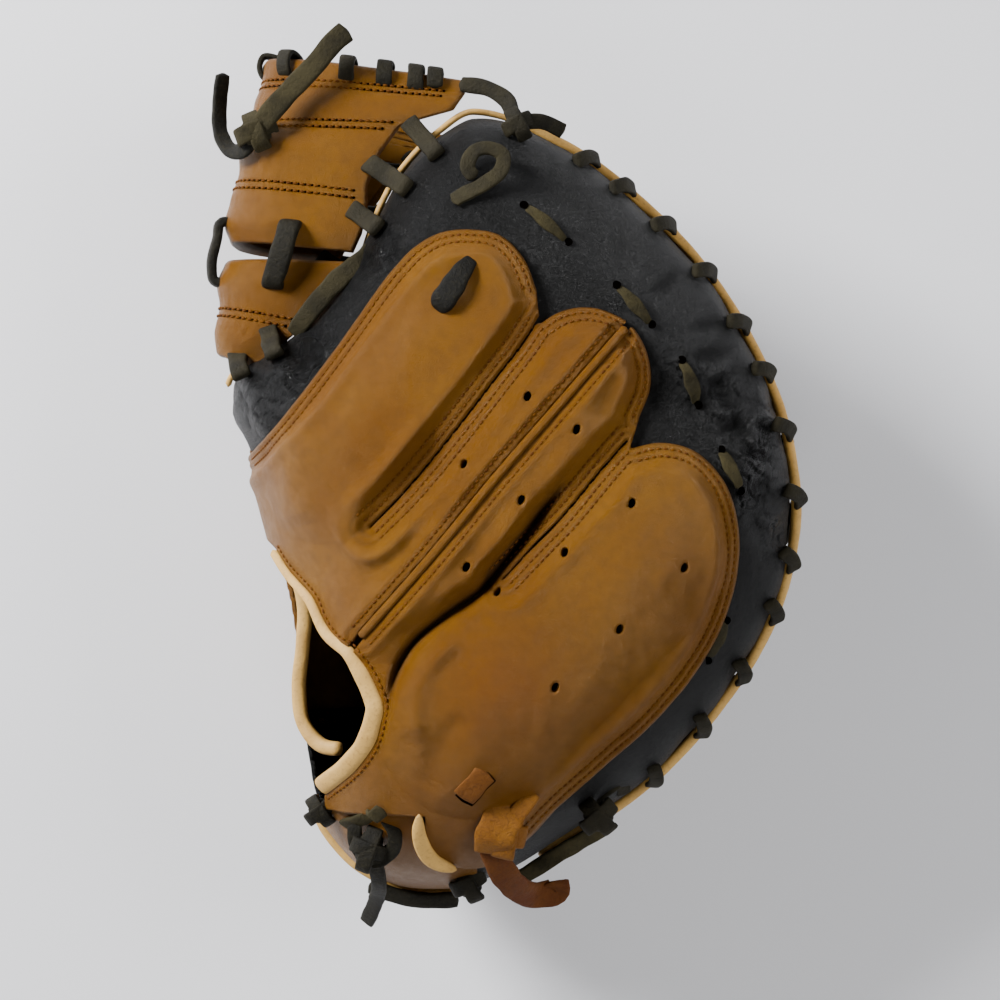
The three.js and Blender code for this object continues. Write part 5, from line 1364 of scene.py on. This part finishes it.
def whipped(reach, seam, over, under, bearings, outside, half, lift, inset, slant, size):
    """A lace that goes up through the plate, slants over the rim, down outside it and back under the
    plate to the next hole, again and again. Its guides turn with the slant."""
    b = np.array(bearings, float)
    outside, inset = np.reshape(outside, (-1, 1)), np.reshape(inset, (-1, 1))
    edge, along, out = rim_at(reach, b)
    later = np.concatenate([b[:-1] + 0.4 * np.diff(b), b[-1:]])
    onward = np.concatenate([along, 0 * along[:, :1]], -1) * np.sign(b[1] - b[0])
    corner = edge + outside * out
    high = off_face(reach, seam, over, b, inset, lift - 0.9)
    loop = [
        off_face(reach, seam, under, b, inset, -UNDER_LIFT),
        high - [0, 0, 3.0] - slant * onward,
        high - slant * onward,
        off_face(reach, seam, over, b, 0.6 * inset, lift + 0.6) - 0.5 * slant * onward,
        off_face(reach, seam, over, b, 0.2 * inset, lift + 1.1) + 0.2 * slant * onward,
        np.concatenate([corner, (seam(b) + half)[:, None]], -1) + slant * onward,
        np.concatenate([corner - 0.4 * out, (seam(b) - half)[:, None]], -1) + slant * onward,
        off_face(reach, seam, under, later, 3.6, -UNDER_LIFT - 0.8),
    ]
    rows = np.stack(loop, 1).reshape(-1, 3)
    turned = onward * (inset + outside) - 2 * slant * np.concatenate([out, 0 * out[:, :1]], -1)
    turned = unit(turned)
    guides = np.stack([onward, turned, turned, turned, turned, turned, onward, onward], 1).reshape(-1, 3)
    guides += 0.1 * np.stack([waves(np.arange(len(guides)) * 3.0, 0.0, 11, k) for k in (81, 82, 83)], -1)
    return lace_shape(rows[1:-2], guides[1:-2], size)


FINGER_FACES = (finger_reach, finger_seam, CROWN, POCKET_ROOF)
THUMB_FACES = (thumb_reach, thumb_seam, POCKET_FLOOR, -FLOOR_SINK)
RIM_STITCH = {"outside": 1.3, "half": 2.0, "lift": LACE_OVER, "inset": 4.4, "slant": 2.6,
              "size": (5.2, 2.0)}
WEB_STITCH = {"outside": (5.0, 5.5, 6.5, 9.5, 9.5), "half": 4.4, "lift": LACE_OVER + 1.2,
              "inset": (5.0, 5.0, 5.0, 7.0, 7.6), "slant": 0.8, "size": (6.6, 2.6)}
THUMB_STITCH = {**WEB_STITCH, "outside": 11.5, "inset": 7.6}
FINGER_STITCHES = (74.7, 67.2, 57.4, 45.8, 33.8, 23.2, 11.1, -2.2, -14.6, -24.9, -37.8, -50.1, -62.1)
WHIPPED = [
    # node, faces, bearings of its stitches, how it passes the rim
    ("finger_rim_lace", FINGER_FACES, FINGER_STITCHES, RIM_STITCH),
    ("thumb_rim_lace", THUMB_FACES, np.linspace(75, -50, 7), RIM_STITCH),
    ("web_finger_lace", FINGER_FACES, (155, 148, 116.5, 109.4, 102.4), WEB_STITCH),
    ("web_thumb_lace", THUMB_FACES, (136, 126, 115, 104), THUMB_STITCH),
]
for node, plate_faces, stitches, how in WHIPPED:
    lace(node, [whipped(*plate_faces, stitches, **how)], suede=0.35)

# The web's own laces: one whipped over its top edge, and two thick loops that hold its pieces together.
# They go through holes in the web that the laces fill.
WEB_TOP_STEPS = (0.46, 0.75, 1.2, 1.73, 2.8, 4.4, 6, 7.6)  # tenths of the way round the web
WEB_LOOPS = [("web_loop_top", 1.55), ("web_loop_side", 3.7)]
LOOP_LACE = (7.6, 3.4)
top_rows, top_guides = [], []
for step in WEB_TOP_STEPS:
    angle = np.array([np.pi * step / 10])
    (edge,), (face,) = web_place(WEB_UPPER, UPPER_ROLLS, 0.0, angle)
    (below,), _ = web_place(WEB_UPPER, UPPER_ROLLS, 1.0, angle)
    (aside,), _ = web_place(WEB_UPPER, UPPER_ROLLS, 0.0, angle + 0.05)
    upward = unit(edge - below)
    inner = -WEB_THICKNESS - 1.6
    for up, away in ((-5.2, inner), (-5.2, 0.2), (-3, 1.5), (1.6, 0.8), (1.6, inner)):
        top_rows.append(edge + up * upward + away * face)
        top_guides.append(unit(aside - edge))
top_lace = lace_shape(np.array(top_rows[1:-1]), np.array(top_guides[1:-1]))
lace("web_top_lace", [top_lace])
for node, step in WEB_LOOPS:
    angle = np.full(3, np.pi * step / 10)
    above, up_way = web_place(WEB_UPPER, UPPER_ROLLS, np.array([6.9, 7.0, 7.7]), angle)
    below, down_way = web_place(WEB_LOWER, LOWER_ROLLS, np.array([0.35, 0.9, 1.0]), angle)
    lifts = np.array([-3.0, 1.6, 4.2, 4.2, 1.6, -3.0])[:, None]
    rows = np.concatenate([above, below]) + lifts * np.concatenate([up_way, down_way])
    (aside,), _ = web_place(WEB_UPPER, UPPER_ROLLS, 7.0, angle[:1] + 0.05)
    guides = np.tile(unit(aside - above[1]), (6, 1))
    lace(node, [lace_shape(rows, guides, LOOP_LACE)], suede=0.15)


# Short laces on the black band: pieces of lace that show between two holes in the leather, suede side
# out, and swell between them. Round near-black discs of painted shade stand for the holes that take their
# ends.
BARS = [
    # node, ends as x1, y1, x2, y2, size, rise in the middle, suede
    ("band_lace_1", (8, 99, 23, 87), (4.2, 1.5), 0.9, 0.9),
    ("band_lace_2", (39, 72, 51, 59), (4.4, 1.5), 0.9, 1.0),
    ("band_lace_3", (61, 47, 67, 32), (4.8, 1.6), 1.0, 1.0),
    ("band_lace_4", (75, 17, 81, 3), (4.8, 1.6), 1.0, 1.0),
    ("band_lace_5", (77, -41, 71, -55), (4.8, 1.6), 0.9, 0.8),
]
LACE_HOLE = 1.5  # radius


def on_band(x, y, lift):
    """Places over the black band, or over the tan leather where that covers it, and their normals."""
    point, normal = over_back(x, y)
    inside = inside_outline(x, y, tan_outline)
    tan_height = tan_relief(x, y, np.maximum(inside, 0))[0] + TAN_LIFT
    band_height = band_relief(x, y, np.full(x.shape, DEEP_INSIDE))[0] + BAND_LIFT
    height = np.where(inside > 0, tan_height, band_height)
    return point + normal * (height + lift)[:, None], normal


def over_back_lace(line, lifts, size, seed, shape=None, ends=0.5):
    """A lace along a line in plan, at heights over the leather that bend smoothly from end to end."""
    line = smooth_line(line, 1.0)
    point, normal = on_band(line[:, 0], line[:, 1], eased(lifts, len(line)))
    across = unit(np.cross(normal, np.gradient(point, axis=0)))
    return lace_shape(point[::2], across[::2], size, ends=ends, seed=seed, shape=shape)


for count, (node, (x1, y1, x2, y2), size, rise, suede) in enumerate(BARS):
    middle = (x1 + x2) / 2, (y1 + y2) / 2
    lifts = [-1.2, 0.7 * rise, rise, rise, rise, 0.7 * rise, -1.2]
    bar = over_back_lace([(x1, y1), middle, (x2, y2)], lifts, size, 90 + count, (0.55, 0.8, 1.1, 0.8, 0.55))
    lace(node, [bar], suede=suede)
# Painted shade: near-black discs where the bars' ends go into the band.
hole_ends = np.array([end for _, end, *_ in BARS], float).reshape(-1, 2)
hole_places, hole_up = on_band(hole_ends[:, 0], hole_ends[:, 1], 0.35)
holes = copies(disc_shape(16), hole_places, np.tile([1.0, 0, 0], (len(hole_places), 1)), hole_up,
               np.array([LACE_HOLE, LACE_HOLE, 1]))
make_piece("painted_lace_hole_shade", *holes, HOLE_SHADE_FINISH, "black_leather")

# Four more laces that lie on the back: over the index finger's lobe, in a curl on the black band, over
# the index finger's edge, and at the heel.
INDEX_LOBE_LACE = [(-8.5, 80), (-12, 75), (-17, 67), (-21.5, 61.5)]
CURL = [(-16, 100), (-14, 101.4), (-5.3, 105.2), (0.5, 109.5), (1, 114), (-3, 116.5), (-8.6, 115.5),
        (-10.8, 110.8), (-7.5, 107)]
INDEX_EDGE_LACE = np.array([(-42, 88, 90), (-47, 82, 95.5), (-55, 75, 97), (-62, 67.5, 96), (-68, 60.5, 92),
                            (-71, 57, 86)], float)
HEEL_OLIVE_LACE = [(-54, -113), (-46, -108), (-38, -102)]
lobe_lace = over_back_lace(INDEX_LOBE_LACE, [-1.5, 1.6, 2.6, 2.2, -1.5], (7.8, 3.2), 96,
                           (0.55, 0.8, 1.0, 1.05, 0.9), ends=3.0)
lace("index_lobe_lace", [lobe_lace], suede=0.05)
curl = over_back_lace(CURL, [1.0, 1.2, 2.2, 3.6, 4.8, 4.8, 4.2, 2.6, 1.2], (5.2, 1.9), 97)
lace("curl_lace", [curl], suede=0.55)
edge_lace = lace_shape(INDEX_EDGE_LACE, level_across(INDEX_EDGE_LACE), (6.6, 2.2), seed=98,
                       shape=(0.8, 1, 1.05, 1, 0.9))
lace("index_edge_lace", [edge_lace], suede=0.6)
olive_lace = over_back_lace(HEEL_OLIVE_LACE, [1.0, 2.6, 1.6], (5.2, 1.8), 99)
lace("heel_olive_lace", [olive_lace], suede=0.9)

# Laces that lie just outside the rim's piping at the heel: a dark one under the heel's panel, and an
# olive one, suede side out, beside the heel flap.
RIM_LACES = [("heel_lace", -108, -96, 0.2), ("rim_olive_lace", -90, -73, 1.0)]
for node, start, stop, suede in RIM_LACES:
    bearing = np.linspace(start, stop, 7)
    edge, along, out = rim_at(finger_reach, bearing)
    rows = np.concatenate([edge + 3.0 * out, (finger_seam(bearing) + 5.0)[:, None]], -1)
    guides = np.concatenate([out, np.full((7, 1), -0.5)], -1)
    lace(node, [lace_shape(rows, guides, (6.4, 2.4))], suede=suede)


# Knots: the lace is wound once each way round its own end and pulled tight, so a knot is a core with
# two crossed bands over it. The loose ends are cut square and curl as they dried.
def wound(centre, across, along, high, turn, band, seed):
    """Core and two crossed bands of a knot. The core is an ellipsoid, and a band is most of an ellipse
    round it, a little larger than the core, standing square to the ground."""
    c, s = np.cos(np.radians(turn)), np.sin(np.radians(turn))
    side, ahead, up = np.array([c, s, 0]), np.array([-s, c, 0]), np.array([0, 0, 1.0])
    t = np.linspace(-0.5 * np.pi, 0.5 * np.pi, 9)
    core_line = centre + np.sin(t)[:, None] * ahead * along * 0.42
    core = carried(core_line, np.tile(side, (9, 1)), rounded_profile(across * 0.8, high * 0.8, 2.0, 12),
                   scale=np.sqrt(np.maximum(np.cos(t), 0.1)))
    shapes = [core]
    sweep = np.linspace(-0.62 * np.pi, 0.62 * np.pi, 15)
    for first, second, reach, lean in ((side, ahead, across, 0.16), (ahead, side, along, -0.2)):
        ring = (centre + np.sin(sweep)[:, None] * first * (reach / 2 + 0.2)
                + np.cos(sweep)[:, None] * up * (high / 2) + (lean * sweep)[:, None] * second)
        shapes.append(lace_shape(ring, np.tile(second, (len(ring), 1)) + 0.25 * up, (band, 1.9), seed=seed))
    return shapes


def tail(rows, width, thickness, seed, twist=0.0):
    """A loose end through its rows. Its width lies level and turns by the twist towards its end."""
    rows = np.array(rows, float)
    guides = unit(level_across(rows))
    lean = np.radians(twist) * np.linspace(0, 1, len(rows))[:, None]
    guides = guides * np.cos(lean) + np.array([0, 0, 1.0]) * np.sin(lean)
    return lace_shape(rows, guides, (width, thickness), ends=0.7, seed=seed)


WEB_LONG_TAIL = [(-84, 126, 88), (-81, 130, 90), (-73, 139, 91), (-63, 149, 93), (-56, 157, 94),
                 (-52, 160.5, 93)]
WEB_SHORT_TAIL = [(-84, 127, 88), (-89, 121, 83), (-94, 122, 77), (-98, 129, 72), (-98.5, 139, 70),
                  (-97, 149.5, 73)]
FINGERTIP_LACE = [(-14, 143, 88), (-4, 141, 90), (2, 137, 92), (6, 129, 97), (14, 129, 95), (22, 126.5, 89)]
HEEL_TAIL = [(-44, -116, 94), (-43, -123, 91), (-42, -131, 84), (-44, -142, 64), (-48, -152, 50)]
HEEL_LOOP = [(-39, -108, 94), (-36, -113, 95), (-37, -120, 92), (-43, -124, 90), (-49, -119, 90),
             (-50, -111, 90)]
RIM_TAIL = [(33, -104, 84), (37, -99, 86), (41, -97, 86), (43, -102, 80)]
web_knot = wound(np.array([-84, 127, 86.0]), 13, 12, 9, 20, 6.0, 101)
lace("web_knot", web_knot + [tail(WEB_LONG_TAIL, 7.4, 2.6, 102)], suede=0.75)
lace("web_knot_short_end", [tail(WEB_SHORT_TAIL, 5.6, 2.2, 103, 50)], extra=True, suede=0.1)


def knot_on_back(x, y, lift):
    """Middle of a knot over the back's smooth surface."""
    point, normal = over_back(np.array([float(x)]), np.array([float(y)]))
    return (point + lift * normal)[0]


fingertip_knot = wound(knot_on_back(6, 126, 2.4), 9, 10, 8, 25, 5.2, 104)
lace("fingertip_knot", fingertip_knot + [tail(FINGERTIP_LACE, 5.4, 2.2, 105, 20)], suede=0.3)
heel_knot = wound(knot_on_back(-44, -117, 3.4), 11, 15, 8, -20, 5.6, 106)
heel_ends = [tail(HEEL_TAIL, 5.6, 2.2, 107, 30), tail(HEEL_LOOP, 5.0, 2.0, 108)]
lace("heel_knot", heel_knot + heel_ends, suede=0.15)
wrist_knot = wound(knot_on_back(-61.5, -106.5, 2.0), 10, 10, 7.5, 35, 5.0, 109)
lace("wrist_knot", wrist_knot, suede=0.15)
heel_lace_knot = wound(np.array([-11.2, -134.0, 72.0]), 11, 13, 10, 25, 5.6, 112)
lace("heel_lace_knot", heel_lace_knot, extra=True, suede=0.2)
rim_knot = wound(knot_on_back(33, -106, 3.4), 12, 12, 8.5, 40, 5.8, 110)
lace("rim_knot", rim_knot + [tail(RIM_TAIL, 5.4, 2.2, 111)], suede=0.35)


# Adjusting strap: a strip of thick reddish-brown rawhide that passes under the leather at the heel,
# shows in its slot, and is tied in a loose flat knot whose rough end curls up.
STRAP_SLOT = [(-12.5, -98.5), (-4.5, -89)]
SLOT_SIZE = (8.0, 1.4)
SLOT_SHADE = [(-13.3, -99.4), (-3.7, -88.1)]  # the dark opening round it
STRAP_TAIL = [(-3, -112, 98), (-2, -120, 96), (2, -129, 90), (8, -136, 80), (14, -138.5, 71),
              (19.5, -137.5, 69), (19.5, -133.5, 72)]
STRAP_FOLD = [(6, -103, 100), (3, -104, 104), (0, -109, 105), (-2, -115, 103), (-2, -120, 98)]
STRAP_TONGUE = [(2, -113, 102), (5, -107, 105), (8.5, -102, 105), (11, -98.5, 103)]


def rawhide_finish():
    """Rawhide: orange tan and smooth on its outer side, reddish brown with a coarse open fibre on its
    suede side, by the attribute suede, with darker broad patches and darker fibres on both sides."""
    finish, tree, surface, place = new_finish("rawhide_strap")
    broad = noise(tree, place, 110.0, 4.0, Roughness=0.6)
    fibre = noise(tree, place, 700.0, 5.0, Roughness=0.7, Distortion=1.0)
    colour = layered(
        tree, mixed(tree, attribute(tree, "suede"), (0.210, 0.082, 0.004), (0.085, 0.020, 0.001)),
        (broad, 0.35, 0.68, 0.0, 0.6, (0.125, 0.040, 0.001)),
        (fibre, 0.5, 0.78, 0.0, 0.7, (0.032, 0.009, 0.001)))
    normal = bump(tree, fibre, 0.8, 0.0006, bump(tree, broad, 0.8, 0.0012))
    fill(tree, surface, {"Base Color": colour, "Roughness": 0.75, "Specular IOR Level": 0.25,
                         "Normal": normal})
    return finish


RAWHIDE_FINISH = rawhide_finish()
strap_slot = over_back_lace(STRAP_SLOT, [0.15, 0.5, 0.5, 0.15], SLOT_SIZE, 120, ends=0.05)
lace("strap_slot", [strap_slot], finish=RAWHIDE_FINISH, slot="rawhide_strap", suede=0.6)
# Painted shade: a near-black sheet for the dark opening round the strap in its slot.
slot_shade = over_back_lace(SLOT_SHADE, [-0.2, -0.1, -0.2], (SLOT_SIZE[0] + 1.0, 0.9), 120, ends=0.05)
make_piece("strap_slot_painted_shade", *slot_shade, HOLE_SHADE_FINISH, "tan_leather")
strap_back = wound(knot_on_back(2, -112, 2.2), 12, 15, 8.0, -12, 8.0, 121)
strap_folds = [tail(STRAP_FOLD, 13.5, 2.0, 124, 10), tail(STRAP_TONGUE, 6.5, 1.8, 123, -35)]
strap_end = tail(STRAP_TAIL, 9.6, 2.0, 122, 15)
lace("strap", strap_back + strap_folds, suede=0.1, finish=RAWHIDE_FINISH, slot="rawhide_strap")
lace("strap_end", [strap_end], suede=1.0, extra=True, finish=RAWHIDE_FINISH, slot="rawhide_strap")
